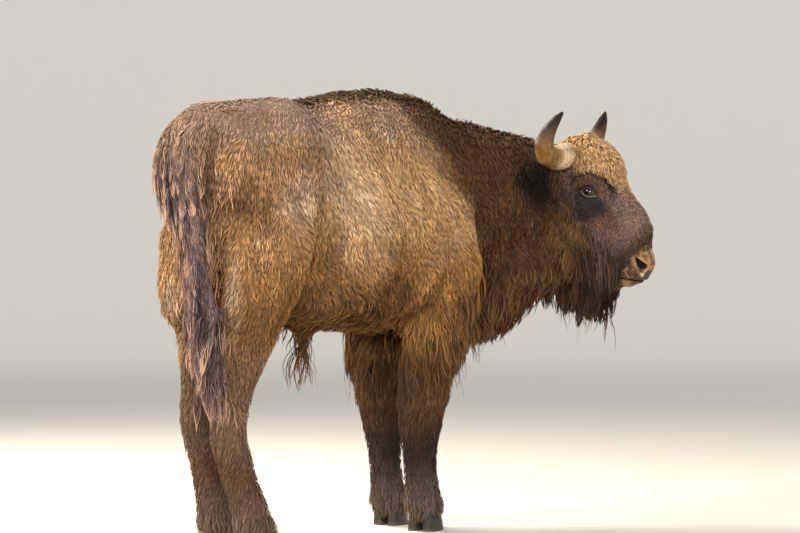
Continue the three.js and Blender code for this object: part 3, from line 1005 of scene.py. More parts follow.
def biggest(count: int, edges: Array) -> Array:
    """Finds the biggest connected part of a mesh.

    Args:
        count: How many vertices there are.
        edges: Pairs of them.

    Returns:
        True for each vertex of that part.
    """
    label = np.arange(count)
    while True:
        low = np.minimum(label[edges[:, 0]], label[edges[:, 1]])
        new = label.copy()
        np.minimum.at(new, edges[:, 0], low)
        np.minimum.at(new, edges[:, 1], low)
        new = new[new]
        if np.array_equal(new, label):
            break
        label = new
    sizes = np.bincount(label, minlength=count)
    log.info("islands: %s", sorted(sizes[sizes > 0].tolist(), reverse=True)[:8])
    return label == sizes.argmax()


@dataclass(frozen=True)
class Dent:
    """A soft push in or out on both sides, with its middle's Y counted from the midline."""

    middle: Triple
    sizes: Triple
    push: float


BROAD_FORMS = (
    Dent((0.18, 0.112, -0.048), (0.052, 0.06, 0.02), 0.01),  # the bony ridge over the eye
    Dent((0.262, 0.1, -0.04), (0.03, 0.05, 0.022), -0.006),  # the hollow in front of the ridge
    Dent((0.285, 0.105, -0.128), (0.085, 0.06, 0.02), 0.007),  # the cheekbone's run to the muzzle
    Dent((0.255, 0.115, -0.122), (0.03, 0.06, 0.012), -0.005),  # the bag under the eye
    Dent((0.4, 0.085, -0.07), (0.06, 0.05, 0.03), -0.006),  # the flat flank of the nose
    Dent((0.465, 0.0, 0.036), (0.055, 0.08, 0.03), 0.015),  # the high round end of the bridge
    Dent((0.524, 0.0, 0.02), (0.014, 0.07, 0.03), -0.007),  # the dip above the nose
    Dent((0.585, 0.0, 0.0), (0.03, 0.04, 0.02), 0.008),  # the nose's tip
    Dent((0.3, 0.0, 0.055), (0.06, 0.07, 0.03), 0.004),  # the wool's edge over the bridge
)
FINE_FORMS = (
    Dent((0.556, 0.062, -0.012), (0.026, 0.03, 0.009), 0.006),  # the upper rim of the nostril
    Dent((0.58, 0.056, -0.052), (0.022, 0.03, 0.009), 0.005),  # its lower rim
    Dent((0.535, 0.066, -0.04), (0.008, 0.03, 0.014), 0.003),  # its back corner
    Dent((0.618, 0.0, -0.055), (0.02, 0.005, 0.04), -0.0035),  # the groove down the nose pad
    Dent((0.585, 0.055, -0.088), (0.022, 0.03, 0.016), 0.005),  # the full upper lip
    Dent((0.612, 0.03, -0.122), (0.02, 0.04, 0.014), 0.007),  # the lower lip
    Dent((0.56, 0.062, -0.135), (0.014, 0.03, 0.014), -0.005),  # the fold behind the corner of the mouth
)
BODY_FORMS = (
    Dent((-0.72, 0.2, 1.45), (0.13, 0.2, 0.11), 0.033),  # the hip bone and haunch
    Dent((-0.49, 0.26, 1.39), (0.08, 0.2, 0.15), -0.04),  # the hollow flank in front of it
    Dent((-0.55, 0.12, 1.56), (0.08, 0.1, 0.05), -0.017),  # the loin between hip and spine
    Dent((-0.93, 0.24, 1.2), (0.07, 0.2, 0.1), -0.027),  # the dip behind the thigh's muscle
    Dent((-0.78, 0.28, 1.08), (0.12, 0.2, 0.18), 0.031),  # the thigh's muscle
    Dent((-1.02, 0.21, 1.2), (0.06, 0.1, 0.08), 0.018),  # the seat
    Dent((-0.925, 0.26, 1.065), (0.13, 0.15, 0.165), -0.09),  # the hollow below the seat
    Dent((-0.56, 0.27, 1.02), (0.06, 0.15, 0.14), 0.024),  # the fold from flank to stifle
    Dent((-0.44, 0.28, 1.06), (0.055, 0.15, 0.13), -0.031),  # the hollow before the fold
    Dent((-0.22, 0.3, 1.13), (0.17, 0.2, 0.15), 0.024),  # the barrel of the ribs
    Dent((-0.08, 0.28, 0.93), (0.08, 0.15, 0.09), -0.037),  # the hollow behind the elbow
    Dent((0.19, 0.27, 1.18), (0.15, 0.2, 0.21), 0.031),  # the shoulder's muscle
    Dent((0.12, 0.27, 0.92), (0.1, 0.15, 0.08), 0.024),  # the upper arm
    Dent((0.455, 0.25, 1.09), (0.08, 0.15, 0.16), 0.028),  # the front of the shoulder
    Dent((0.595, 0.22, 1.06), (0.065, 0.15, 0.18), -0.034),  # the groove between shoulder and neck
    Dent((0.36, 0.27, 1.0), (0.07, 0.2, 0.11), 0.024),  # the point of the shoulder
)


def sculpt(places: Array, normal: Array, dents: tuple[Dent, ...], share: Array | float = 1.0) -> Array:
    """Pushes places along their normals by a list of soft forms.

    Args:
        places: Places, with the midline at Y = 0.
        normal: The way out at each.
        dents: The forms.
        share: How much of them each place takes.

    Returns:
        The moved places.
    """
    folded = mirrored(places)
    push = share * sum(dent.push * near(folded, dent.middle, dent.sizes) for dent in dents)
    return places + normal * push[:, None]


def open_eyes(head: Array) -> Array:
    """Forms lids round both eyes and opens the skin between them.

    Args:
        head: Places of the skin in the head's frame.

    Returns:
        The same places, moved in or out from the face.
    """
    head = head.copy()
    for side in (1, -1):
        local = EYE.local(head, side)
        close = (np.hypot(local[:, 0], local[:, 1]) < 0.062) & (np.abs(local[:, 2]) < 0.05)
        u, v, w = local[close].T
        gap = EYE.outside_lids(local[close])
        ball = EYE.front(u, v)
        thick = np.where(v > 0, 0.0036, 0.0026)
        lid = ball + thick * ease(gap, -0.001, 0.0022) + 0.001 * np.exp(-(((gap - 0.0035) / 0.002) ** 2))
        lid = lid - np.where(v > 0, 0.0034, 0.0022) * np.exp(-(((gap - 0.0088) / 0.002) ** 2))
        fold = 0.0011 * np.sin(gap * CYCLE / 0.0062 + 1.0)
        fold = fold * ease(gap, 0.008, 0.013) * ease(gap, 0.034, 0.022)
        skin = np.maximum(w, lid * 0.6)
        target = lid + (skin - lid) * ease(gap, 0.005, 0.026) + fold
        inside = ball - 0.003 - 0.01 * ease(-gap, 0.0002, 0.0036)
        target = np.where(gap < 0, inside, target)
        moved = local[close]
        moved[:, 2] = w + (target - w) * ease(np.hypot(u, v), 0.06, 0.05)
        head[close] = EYE.middle(side) + moved @ EYE.axes(side)
    return head


@dataclass(frozen=True)
class NostrilPlan:
    """A comma-shaped nostril in the head's frame, on each side of the nose pad."""

    middle: Triple = (0.571, 0.056, -0.032)
    along: Triple = (0.052, -0.025, 0.012)
    half_length: float = 0.035
    half_height: float = 0.0195
    deep: float = 0.023

    def inside(self, head: Array) -> Array:
        """Measures how far places are inside the nostril.

        Args:
            head: Places in the head's frame, on one side.

        Returns:
            1 at the nostril's middle, falling to 0 at its rim.
        """
        off = head - np.array(self.middle)
        run = unit(np.array(self.along))
        out = unit(np.array([-self.along[1], self.along[0], 0.0]))
        a, b = off @ run / self.half_length, off @ np.cross(run, out)
        high = self.half_height * (0.8 + 0.35 * np.clip(a, -1, 1))
        reach = np.sqrt(a**2 + ((b - 0.004 * a**2) / high) ** 2)
        return ease(reach, 1.12, 0.45) * (np.abs(off @ out) < 0.035)


NOSTRIL = NostrilPlan()


def open_muzzle(head: Array, normal: Array) -> Array:
    """Hollows the nostrils and parts the lips.

    Args:
        head: Places in the head's frame.
        normal: The way out at each.

    Returns:
        The moved places.
    """
    folded = mirrored(head)
    inward = np.stack([-0.43 * np.ones(len(head)), -0.9 * np.sign(head[:, 1]), np.zeros(len(head))], 1)
    head = head + inward * (NOSTRIL.deep * NOSTRIL.inside(folded))[:, None]
    slit = mouth_line(folded)
    parted = ease(folded[:, 0], 0.57, 0.584)
    cut = -0.0075 * np.exp(-((slit / 0.0026) ** 2))
    lips = 0.0022 * np.exp(-(((np.abs(slit) - 0.0085) / 0.0055) ** 2))
    return head + normal * ((cut + lips) * parted)[:, None]


@dataclass
class Skin:
    """The animal's one skin, from muzzle to feet, inside the solids by the depth of the coat."""

    name: str = "skin"
    voxel: float = 17 * MM
    smoothings: int = 9
    seat_smoothings: int = 40
    stout: float = 0.007
    painted_shade_under_hair: float = 0.4

    def __post_init__(self) -> None:
        """Gathers the flesh that the skin covers."""
        self.flesh = Flesh.from_frame()
        self.mesh: bpy.types.Mesh | None = None
        self.places = self.normals = self.edges = self.shares = np.empty(0)

    def read(self, bm: bmesh.types.BMesh) -> None:
        """Takes the places, normals and edges from a bmesh.

        Args:
            bm: The skin's bmesh.
        """
        bm.normal_update()
        bm.verts.index_update()
        self.places = np.array([vert.co for vert in bm.verts])
        self.normals = np.array([vert.normal for vert in bm.verts])
        self.edges = np.array([(edge.verts[0].index, edge.verts[1].index) for edge in bm.edges])

    def write(self, bm: bmesh.types.BMesh, places: Array) -> None:
        """Moves a bmesh's vertices and reads it again."""
        for vert, place in zip(bm.verts, places.tolist()):
            vert.co = place
        self.read(bm)

    def spots(self) -> Spots:
        """The skin's vertices as places that colours and growth are worked out for."""
        return Spots(self.places, self.normals, self.shares)

    def build(self) -> bpy.types.Object:
        """Makes the skin.

        Returns:
            The skin as an object, without its material.
        """
        wrapped = remeshed(self.flesh.places, self.flesh.tris, self.voxel, "wrapped")
        bm = bmesh.new()
        bm.from_mesh(wrapped)
        self.read(bm)
        keep = biggest(len(self.places), self.edges)
        bmesh.ops.delete(bm, geom=[v for v, kept in zip(bm.verts, keep) if not kept], context="VERTS")
        self.read(bm)
        places = self.places
        for _ in range(self.smoothings):
            places = relaxed(relaxed(places, self.edges, 1, 0.6), self.edges, 1, -0.5)
        self.write(bm, places)
        self.shares = self.flesh.shares(self.places, self.edges)
        inset = self.places - self.normals * depth_at(self.spots())[:, None]
        self.write(bm, relaxed(inset, self.edges, 2))
        flank = 1.0 - self.spots().of(Region.HEAD)
        self.write(bm, HEART + sculpt(self.places - HEART, self.normals, BODY_FORMS, flank))
        self.write(bm, HEART + quarters(self.places - HEART, self.normals * flank[:, None]))
        swell = 0.027 * near(self.places - HEART, (-1.06, 0.11, 1.29), (0.1, 0.1, 0.13))
        spots = self.spots()
        z = spots.body[:, 2]
        stout = self.stout * spots.legs * ease(z, 0.62, 0.45) * ease(z, 0.05, 0.12)
        lumps = 0.006 * noise(self.places, 0.13, 91) + 0.0035 * noise(self.places, 0.065, 92)
        lumps = lumps * flank * ease(z, 0.5, 0.8)
        self.write(bm, self.places + self.normals * (swell + stout + lumps)[:, None])
        seat = near(mirrored(self.places - HEART), (-0.98, 0.2, 1.15), (0.14, 0.22, 0.1))
        self.write(bm, relaxed(self.places, self.edges, self.seat_smoothings, 0.5, seat))
        self.detail_head(bm)
        bmesh.ops.triangulate(bm, faces=[face for face in bm.faces if len(face.verts) > 4])
        bmesh.ops.recalc_face_normals(bm, faces=bm.faces)
        self.read(bm)
        self.shares = self.flesh.shares(self.places, self.edges)
        self.mesh = smooth_mesh(bm, self.name)
        bpy.data.meshes.remove(wrapped)
        return link(self.mesh, self.name)

    def refine(self, bm: bmesh.types.BMesh, chosen: Array, rounds: int = 2) -> None:
        """Halves the squares at the chosen vertices and smooths them.

        Args:
            bm: The skin's bmesh.
            chosen: True for each vertex where the mesh gets finer.
            rounds: How many times it is smoothed.
        """
        edges = [edge for edge in bm.edges if chosen[edge.verts[0].index] and chosen[edge.verts[1].index]]
        bmesh.ops.subdivide_edges(bm, edges=edges, cuts=1, use_grid_fill=True)
        for _ in range(rounds):
            self.read(bm)
            head = in_head(self.places)
            only = ease(head[:, 0], 0.1, 0.16) * (np.abs(head[:, 1]) < 0.22)
            places = relaxed(self.places, self.edges, 1, 0.6, only)
            self.write(bm, relaxed(places, self.edges, 1, -0.52, only))

    def detail_head(self, bm: bmesh.types.BMesh) -> None:
        """Divides the face more finely and carves its brows, lids, nostrils and lips.

        Args:
            bm: The skin's bmesh.
        """
        turn = HEAD[:3, :3]
        head = in_head(self.places)
        ring, brow = brow_ring(head)
        fold = -0.007 * np.exp(-(((ring - 0.083) / 0.013) ** 2)) * brow * (np.abs(head[:, 1]) > 0.04)
        fold = fold * (head[:, 0] > 0.08) * self.spots().of(Region.HEAD)
        head = head + (self.normals @ turn) * fold[:, None]
        self.write(bm, from_head(sculpt(head, self.normals @ turn, BROAD_FORMS)))
        face = in_head(self.places)
        self.refine(bm, (face[:, 0] > 0.11) & (np.abs(face[:, 1]) < 0.2) & (face[:, 2] > -0.3))
        for reach in (1.0, 0.7, 0.5):
            folded = mirrored(in_head(self.places))
            eye = EYE.local(folded, 1)
            fine = (np.hypot(eye[:, 0], eye[:, 1]) < 0.064 * reach) & (np.abs(eye[:, 2]) < 0.05)
            nose = near(folded, NOSTRIL.middle, (0.05, 0.05, 0.035)) > 1.0 - 0.62 * reach
            lips = (folded[:, 0] > 0.56) & (np.abs(mouth_line(folded)) < 0.018 * reach)
            muzzled = (folded[:, 0] > 0.5) & (reach > 0.9)
            self.refine(bm, fine | nose | lips | muzzled)
        head = in_head(self.places)
        head = sculpt(head, self.normals @ turn, FINE_FORMS)
        self.write(bm, from_head(head))
        head = open_muzzle(in_head(self.places), self.normals @ turn)
        self.write(bm, from_head(open_eyes(head)))

    def dress(self, piece: bpy.types.Object, material: bpy.types.Material) -> None:
        """Gives the skin its colours, with painted shade where hair covers it, its bare places and its
        material.

        Args:
            piece: The skin's object.
            material: Its material.
        """
        spots = self.spots()
        shade = markings(spots)
        head = mirrored(spots.head)
        pad = nose_pad(head)
        local = EYE.local(head, 1)
        rim = ease(EYE.outside_lids(local), 0.006, 0.002) * (np.abs(local[:, 2]) < 0.05)
        bare = np.clip(np.maximum(pad, rim) * spots.of(Region.HEAD), 0, 1)
        furred = 1.0 - np.maximum(bare, 0.9 * muzzle(head) * spots.of(Region.HEAD))
        # painted shade: the skin is darker where hair covers it
        shade = shade * (1.0 - self.painted_shade_under_hair * furred[:, None])
        paint(self.mesh, "coat", shade)
        layer = self.mesh.attributes.new("bare", "FLOAT", "POINT")
        layer.data.foreach_set("value", bare.astype(np.float32))
        finish_piece(piece, material, tuple(NODES))


def paint(mesh: bpy.types.Mesh, name: str, shade: Array) -> None:
    """Stores a colour for each vertex of a mesh.

    Args:
        mesh: The mesh.
        name: The attribute's name.
        shade: Linear colours, one row for each vertex.
    """
    rgba = np.ones((len(shade), 4), np.float32)
    rgba[:, :3] = np.clip(shade, 0.0, 1.0)
    layer = mesh.attributes.new(name, "FLOAT_COLOR", "POINT")
    layer.data.foreach_set("color", rgba.ravel())


# ------------------------------ the coat


@dataclass
class Follicles:
    """Roots sown over the skin, with the skin's own facts at each of them."""

    spots: Spots
    growth: Growth

    def __len__(self) -> int:
        """How many roots there are."""
        return len(self.spots.place)

    def only(self, chosen: Array) -> "Follicles":
        """The roots that are chosen."""
        spots = Spots(*(getattr(self.spots, key)[chosen] for key in ("place", "out", "share")))
        growth = Growth(**{key: value[chosen] for key, value in vars(self.growth).items()})
        return Follicles(spots, growth)


class Hide:
    """The skin's surface as something to sow hair on."""

    def __init__(self, skin: Skin) -> None:
        """Reads the skin.

        Args:
            skin: The finished skin.
        """
        self.spots = skin.spots()
        self.growth = growth_at(self.spots)
        skin.mesh.calc_loop_triangles()
        self.tris = indices_of(skin.mesh.loop_triangles, "vertices", 3)
        corner = self.spots.place[self.tris]
        across = np.cross(corner[:, 1] - corner[:, 0], corner[:, 2] - corner[:, 0])
        self.area = np.linalg.norm(across, axis=1) / 2

    def sow(self, density: Array, seed: int) -> Follicles:
        """Spreads roots evenly over the skin.

        Args:
            density: Roots for each square metre at each vertex.
            seed: Which random places.

        Returns:
            The follicles.
        """
        rng = np.random.default_rng(seed)
        expected = np.cumsum(self.area * density[self.tris].mean(1))
        picks = np.arange(int(expected[-1])) + rng.random(int(expected[-1]))
        tri = self.tris[np.minimum(np.searchsorted(expected, picks), len(self.tris) - 1)]
        a, b = rng.random(len(tri)), rng.random(len(tri))
        over = a + b > 1
        a[over], b[over] = 1 - a[over], 1 - b[over]
        weights = np.stack([1 - a - b, a, b], 1)

        def at(values: Array) -> Array:
            """Values of the vertices mixed at the roots."""
            corners = values[tri]
            return np.einsum("nk,nk...->n...", weights, corners)

        spots = Spots(at(self.spots.place), unit(at(self.spots.out)), at(self.spots.share))
        growth = Growth(**{key: at(value) for key, value in vars(self.growth).items()})
        growth.lie = unit(growth.lie - spots.out * (growth.lie * spots.out).sum(1)[:, None])
        shift = rng.uniform(-0.35, 0.35, (len(tri), 2)) * growth.spacing[:, None]
        across = np.cross(spots.out, growth.lie)
        spots.place = spots.place + growth.lie * shift[:, :1] + across * shift[:, 1:]
        return Follicles(spots, growth)


@dataclass(frozen=True)
class Combing:
    """How hair leaves the skin and hangs."""

    rings: int = 2
    rise: tuple[float, float] = (0.35, 1.0)
    pull: float = 0.08
    wave: float = 0.1
    swirls: float = 0.8
    stray: float = 0.16
    clump: float = 0.45
    clump_size: float = 0.028
    ragged: float = 0.0
    ridge: float = 0.34
    # how dark a strand's root is painted, as shade deep in the coat
    root_painted_shade: float = 0.58
    tip_shade: float = 1.08


@dataclass
class Hair:
    """Tufts or locks as solid strands: where they run, how wide they are and what colour."""

    ROOT: ClassVar[float] = 0.003  # how far below the skin a strand starts
    STEEPEST: ClassVar[float] = 2.6  # how fast it may rise from there, against its run along the skin
    FADE: ClassVar[tuple] = ((0.0, 0.25, 0.6, 1.0), (0.75, 1.0, 0.85, 0.3))  # its width along its length
    PATCH: ClassVar[float] = 0.003  # the size of each strand's own patch in the map for baking

    follicles: Follicles
    length: Array
    width: Array
    shade: Array
    tip: Array
    combing: Combing
    seed: int

    def paths(self) -> tuple[Array, Array]:
        """Works out the strands' middle lines.

        Returns:
            Points with a row for each strand and ring, and the way out of the skin at each.
        """
        comb, count = self.combing, len(self.follicles)
        rng = np.random.default_rng(self.seed)
        out, lie = self.follicles.spots.out, self.follicles.growth.lie
        stray = rng.normal(0.0, comb.stray, count)
        across = np.cross(out, lie)
        lie = unit(lie * np.cos(stray)[:, None] + across * np.sin(stray)[:, None])
        across = np.cross(out, lie)
        times = (np.arange(comb.rings) + 0.5) / comb.rings
        rise = self.follicles.growth.depth * rng.uniform(*comb.rise, count)
        lift = np.minimum(rise / (self.length * np.mean((1 - times) ** 2)), self.STEEPEST)
        curl = self.follicles.growth.curl + comb.wave
        drift = noise(self.follicles.spots.place, comb.clump_size * 1.6, 91)
        phase = CYCLE * (1.1 * drift + rng.uniform(-0.09, 0.09, count))
        swirls = comb.swirls * rng.uniform(0.85, 1.15, count)
        points = [self.follicles.spots.place - out * self.ROOT]
        for t in times:
            pull = comb.pull * t
            sway = curl * np.cos(phase + CYCLE * swirls * t)
            bob = 0.5 * curl * np.sin(phase * 1.7 + CYCLE * swirls * t) * (comb.rings > 3)
            step = lie * (1 - pull) + DOWN * pull + across * sway[:, None]
            step = step + out * (lift * (1 - t) ** 2 + bob)[:, None]
            points.append(points[-1] + unit(step) * (self.length / comb.rings)[:, None])
        path = np.stack(points, 1)
        return self.clumped(path), out

    def clumped(self, path: Array) -> Array:
        """Draws the tips of neighbours together.

        Args:
            path: Points with a row for each strand and ring.

        Returns:
            The moved points.
        """
        root = path[:, 0]
        warp = np.stack([noise(root, 0.05, seed) for seed in (21, 22, 23)], 1) * 0.012
        cell = np.floor((root + warp) / self.combing.clump_size).astype(np.int64)
        keys = cell @ np.array([1, 4096, 4096 * 4096])
        _, member = np.unique(keys, return_inverse=True)
        size = np.bincount(member)
        mean = np.stack([np.bincount(member, path[:, -1, c]) / size for c in range(3)], 1)[member]
        along = np.linspace(0, 1, path.shape[1]) ** 1.4
        return path + (mean - path[:, -1])[:, None, :] * (self.combing.clump * along)[None, :, None]

    def solids(self) -> tuple[Array, Array, Array, Array]:
        """Turns the strands into closed solids.

        Returns:
            Vertices for each strand, one strand's triangles, each vertex's share of the way to the tip,
            and its place across the strand from 0 to 1.
        """
        path, out = self.paths()
        rings = self.combing.rings
        heads = unit(path[:, 1:] - path[:, :-1])
        ways = np.concatenate([heads[:, :1], heads[:, 1:] + heads[:, :-1]], 1)
        across = unit(np.cross(ways, out[:, None, :]))
        up = unit(np.cross(across, ways))
        fade = np.interp(np.arange(rings) / rings, *self.FADE)
        half = (self.width[:, None] * fade / 2)[..., None]
        middle = path[:, :-1]
        left, right = middle - across * half, middle + across * half
        ridge = middle + up * half * 2 * self.combing.ridge
        ring = np.stack([left, right, ridge], 2).reshape(len(path), rings * 3, 3)
        verts = np.concatenate([ring, path[:, -1:]], 1)
        tris = [(0, 2, 1)]
        for k in range(rings - 1):
            for a, b in ((0, 1), (1, 2), (2, 0)):
                p, q = 3 * k + a, 3 * k + b
                tris += [(p, q, q + 3), (p, q + 3, p + 3)]
        last, tip = 3 * (rings - 1), 3 * rings
        tris += [(last + a, last + b, tip) for a, b in ((0, 1), (1, 2), (2, 0))]
        along = np.append(np.repeat(np.arange(rings) / rings, 3), 1.0)
        side = np.append(np.tile((0.0, 1.0, 0.5), rings), 0.5)
        return verts, np.array(tris), along, side

    def mesh(self, name: str) -> bpy.types.Mesh:
        """Joins all the strands in one mesh with its colours and maps.

        Args:
            name: The mesh's name.

        Returns:
            The mesh.
        """
        verts, tris, along, side = self.solids()
        count, each = verts.shape[:2]
        faces = (tris[None] + (np.arange(count) * each)[:, None, None]).reshape(-1, 3)
        mesh = mesh_from(name, verts.reshape(-1, 3), faces)
        # each strand is painted darker towards its root, as shade deep in the coat, and lighter at its tip
        dark = np.interp(along, (0, 0.5, 1), (self.combing.root_painted_shade, 0.92, self.combing.tip_shade))
        toward = ease(along, 0.35, 1.0)
        shade = self.shade[:, None, :] + (self.tip - self.shade)[:, None, :] * toward[None, :, None]
        paint(mesh, "coat", (shade * dark[None, :, None]).reshape(-1, 3))
        patch = self.PATCH * np.stack([side, along - 0.2 * (side == 0.5) * (along < 1.0)], 1)
        own = unwrapped(self.follicles.spots, name)[:, None, :] + patch[None]
        corner = faces.ravel()
        add_map(mesh, "OFBake", own.reshape(-1, 2)[corner])
        rng = np.random.default_rng(self.seed + 7)
        offset = rng.uniform(0, 40, (count, 1, 2))
        mm = np.stack([side[None] * self.width[:, None], along[None] * self.length[:, None]], 2) * 1000
        add_map(mesh, "strand", (mm + offset).reshape(-1, 2)[corner])
        return mesh


def mesh_from(name: str, places: Array, tris: Array) -> bpy.types.Mesh:
    """Makes a smooth-shaded mesh of triangles from arrays.

    Args:
        name: The mesh's name.
        places: Its vertices.
        tris: Its triangles.

    Returns:
        The mesh.
    """
    mesh = bpy.data.meshes.new(name)
    mesh.vertices.add(len(places))
    mesh.vertices.foreach_set("co", places.astype(np.float32).ravel())
    mesh.loops.add(tris.size)
    mesh.loops.foreach_set("vertex_index", tris.astype(np.int32).ravel())
    mesh.polygons.add(len(tris))
    mesh.polygons.foreach_set("loop_start", np.arange(0, tris.size, 3, dtype=np.int32))
    mesh.update(calc_edges=True)
    mesh.shade_smooth()
    return mesh


def add_map(mesh: bpy.types.Mesh, name: str, places: Array) -> None:
    """Adds a UV map from a place for each corner."""
    layer = mesh.uv_layers.new(name=name)
    layer.data.foreach_set("uv", places.astype(np.float32).ravel())


def unwrapped(spots: Spots, name: str) -> Array:
    """Rolls a part of the skin out flat.

    Args:
        spots: The roots.
        name: The piece that they belong to.

    Returns:
        A place in a unit square for each root.
    """
    place, axis = spots.place, np.array([1.0, 0.0, 0.0])
    if "head" in name or "brow" in name or "beard" in name or "cheek" in name:
        axis = HEAD[:3, 0]
    elif any(word in name for word in ("leg", "tail", "mane", "sheath")):
        axis = np.array([0.0, 0.0, 1.0])
    side = np.zeros(len(place))
    if "leg" in name or "ear" in name:
        side = (place[:, 1] > HEART[1]).astype(float)
    u, v = np.zeros(len(place)), place @ axis
    halves = 1.0 + side.max()
    for half in np.unique(side):
        mine = side == half
        off = place[mine] - place[mine].mean(0)
        across = unit(np.cross(axis, np.array([0.3, 0.2, 0.9])))
        turn = np.arctan2(off @ np.cross(axis, across), off @ across)
        u[mine] = (turn / CYCLE + 0.5 + half) / halves
    v = (v - v.min()) / max(v.max() - v.min(), 1e-6)
    return np.stack([0.01 + 0.97 * u, 0.01 + 0.97 * v], 1)


@dataclass(frozen=True)
class Plot:
    """A part of the coat that becomes one piece."""

    name: str
    regions: tuple[Region, ...]
    right: bool | None = None
    fore: bool | None = None
    slot: str = "body_coat"

    def holds(self, spots: Spots, home: Array) -> Array:
        """Finds the roots that are in the plot.

        Args:
            spots: The roots.
            home: The region that each is mostly in.

        Returns:
            True for each root in the plot.
        """
        chosen = np.isin(home, [REGIONS.index(region) for region in self.regions])
        if self.right is not None:
            chosen &= (spots.body[:, 1] < 0) == self.right
        if self.fore is not None:
            chosen &= (spots.body[:, 0] > MIDRIFF) == self.fore
        return chosen


PLOTS = (
    Plot("coat_trunk_fore_right", (Region.TRUNK,), True, True),
    Plot("coat_trunk_fore_left", (Region.TRUNK,), False, True),
    Plot("coat_trunk_hind_right", (Region.TRUNK,), True, False),
    Plot("coat_trunk_hind_left", (Region.TRUNK,), False, False),
    Plot("coat_neck", (Region.NECK,), slot="dark_coat"),
    Plot("coat_head", (Region.HEAD,), slot="body_coat"),
    Plot("coat_ears", (Region.EARS,), slot="dark_coat"),
    Plot("coat_legs_fore", (Region.FORELEGS,), slot="leg_coat"),
    Plot("coat_legs_hind", (Region.HINDLEGS,), slot="leg_coat"),
    Plot("coat_tail", (Region.TAIL, Region.TAIL_TUFT, Region.SHEATH), slot="long_hair"),
    Plot("coat_mane_beard", (Region.MANE, Region.BEARD), slot="long_hair"),
)


def varied(follicles: Follicles, shade: Array, seed: int, spread: float = 0.17) -> Array:
    """Adds the small differences from tuft to tuft and patch to patch.

    Args:
        follicles: The roots.
        shade: The markings' colour at each.
        seed: Which random differences.
        spread: How much tufts differ in lightness.

    Returns:
        The new colours.
    """
    rng = np.random.default_rng(seed)
    place = follicles.spots.place
    patch = 0.15 * noise(place, 0.1, 33) + 0.26 * noise(place, 0.042, 31) + 0.16 * noise(place, 0.018, 32)
    streak = 0.22 * noise(place * np.array([1.0, 1.0, 0.3]), 0.02, 34)
    calm = wool_on_brow(mirrored(follicles.spots.head)) * follicles.spots.of(Region.HEAD)
    level = np.exp((rng.normal(0.0, spread, len(place)) + patch + streak) * (1.0 - 0.5 * calm))
    warm = np.array([1.03, 1.0, 0.95]) ** rng.normal(0.0, 1.0, len(place))[:, None]
    return shade * level[:, None] * warm


@dataclass
class ShortCoat:
    """The tufts that cover the whole skin."""

    hide: Hide
    material: bpy.types.Material
    clump: float = 0.66
    clump_size: float = 0.025
    clump_size_on_head: float = 0.014
    crimp: float = 0.0022

    def build(self) -> None:
        """Sows, combs and joins the tufts, piece by piece."""
        follicles = self.hide.sow(1.0 / self.hide.growth.spacing**2, 101)
        head = mirrored(follicles.spots.head)
        eye = EYE.local(head, 1)
        clear = (EYE.outside_lids(eye) < 0.0045) & (np.abs(eye[:, 2]) < 0.05)
        clear |= nose_pad(head) > 0.5
        clear |= NOSTRIL.inside(head) > 0.05
        clear |= (np.abs(mouth_line(head)) < 0.003) & (head[:, 0] > 0.575)
        follicles = follicles.only(~(clear & (follicles.spots.of(Region.HEAD) > 0.5)))
        home = follicles.spots.share.argmax(1)
        for number, plot in enumerate(PLOTS):
            self.grow(plot, follicles.only(plot.holds(follicles.spots, home)), 200 + number)

    def grow(self, plot: Plot, follicles: Follicles, seed: int) -> None:
        """Makes one piece of the coat.

        Args:
            plot: The piece's part of the skin.
            follicles: Its roots.
            seed: Which random tufts.
        """
        rng = np.random.default_rng(seed)
        count = len(follicles)
        shade = varied(follicles, markings(follicles.spots), seed + 50)
        length = follicles.growth.length * rng.uniform(0.72, 1.28, count)
        width = follicles.growth.width * rng.uniform(0.7, 1.3, count)
        on_head = plot.name == "coat_head"
        clump_size = self.clump_size_on_head if on_head else self.clump_size
        combing = Combing(clump=self.clump, clump_size=clump_size)
        waves = self.crimp * crimp(follicles.spots.head) * follicles.spots.of(Region.HEAD)
        follicles.spots.place = follicles.spots.place + follicles.spots.out * waves[:, None]
        hair = Hair(follicles, length, width, shade, shade * 1.04, combing, seed)
        piece = link(hair.mesh(plot.name), plot.name)
        finish_piece(piece, self.material)


def trunk_or_foreleg(spots: Spots) -> Array:
    """How far a place is on the trunk or a foreleg, from 0 to 1."""
    return np.clip(spots.of(Region.TRUNK) + spots.of(Region.FORELEGS), 0, 1)


# Where the hanging hair ends: how far along the head or neck, and how high above the floor.
BEARD_EDGE = (
    (-0.06, 0.78), (0.0, 0.725), (0.025, 0.715), (0.055, 0.8), (0.085, 0.865), (0.104, 0.89), (0.14, 0.92),
)
MANE_EDGE = (
    (0.34, 0.54), (0.39, 0.6), (0.42, 0.64), (0.474, 0.66), (0.549, 0.76), (0.605, 0.81), (0.66, 0.9),
)
ALONG_BEARD = (0.44, 0.0, 0.9)  # the way along the head that the beard's edge counts in
ALONG_MANE = (0.53, -0.848, 0.0)  # and the way along the neck for the mane's
HANG = 0.93  # the share of a lock's length that it hangs down


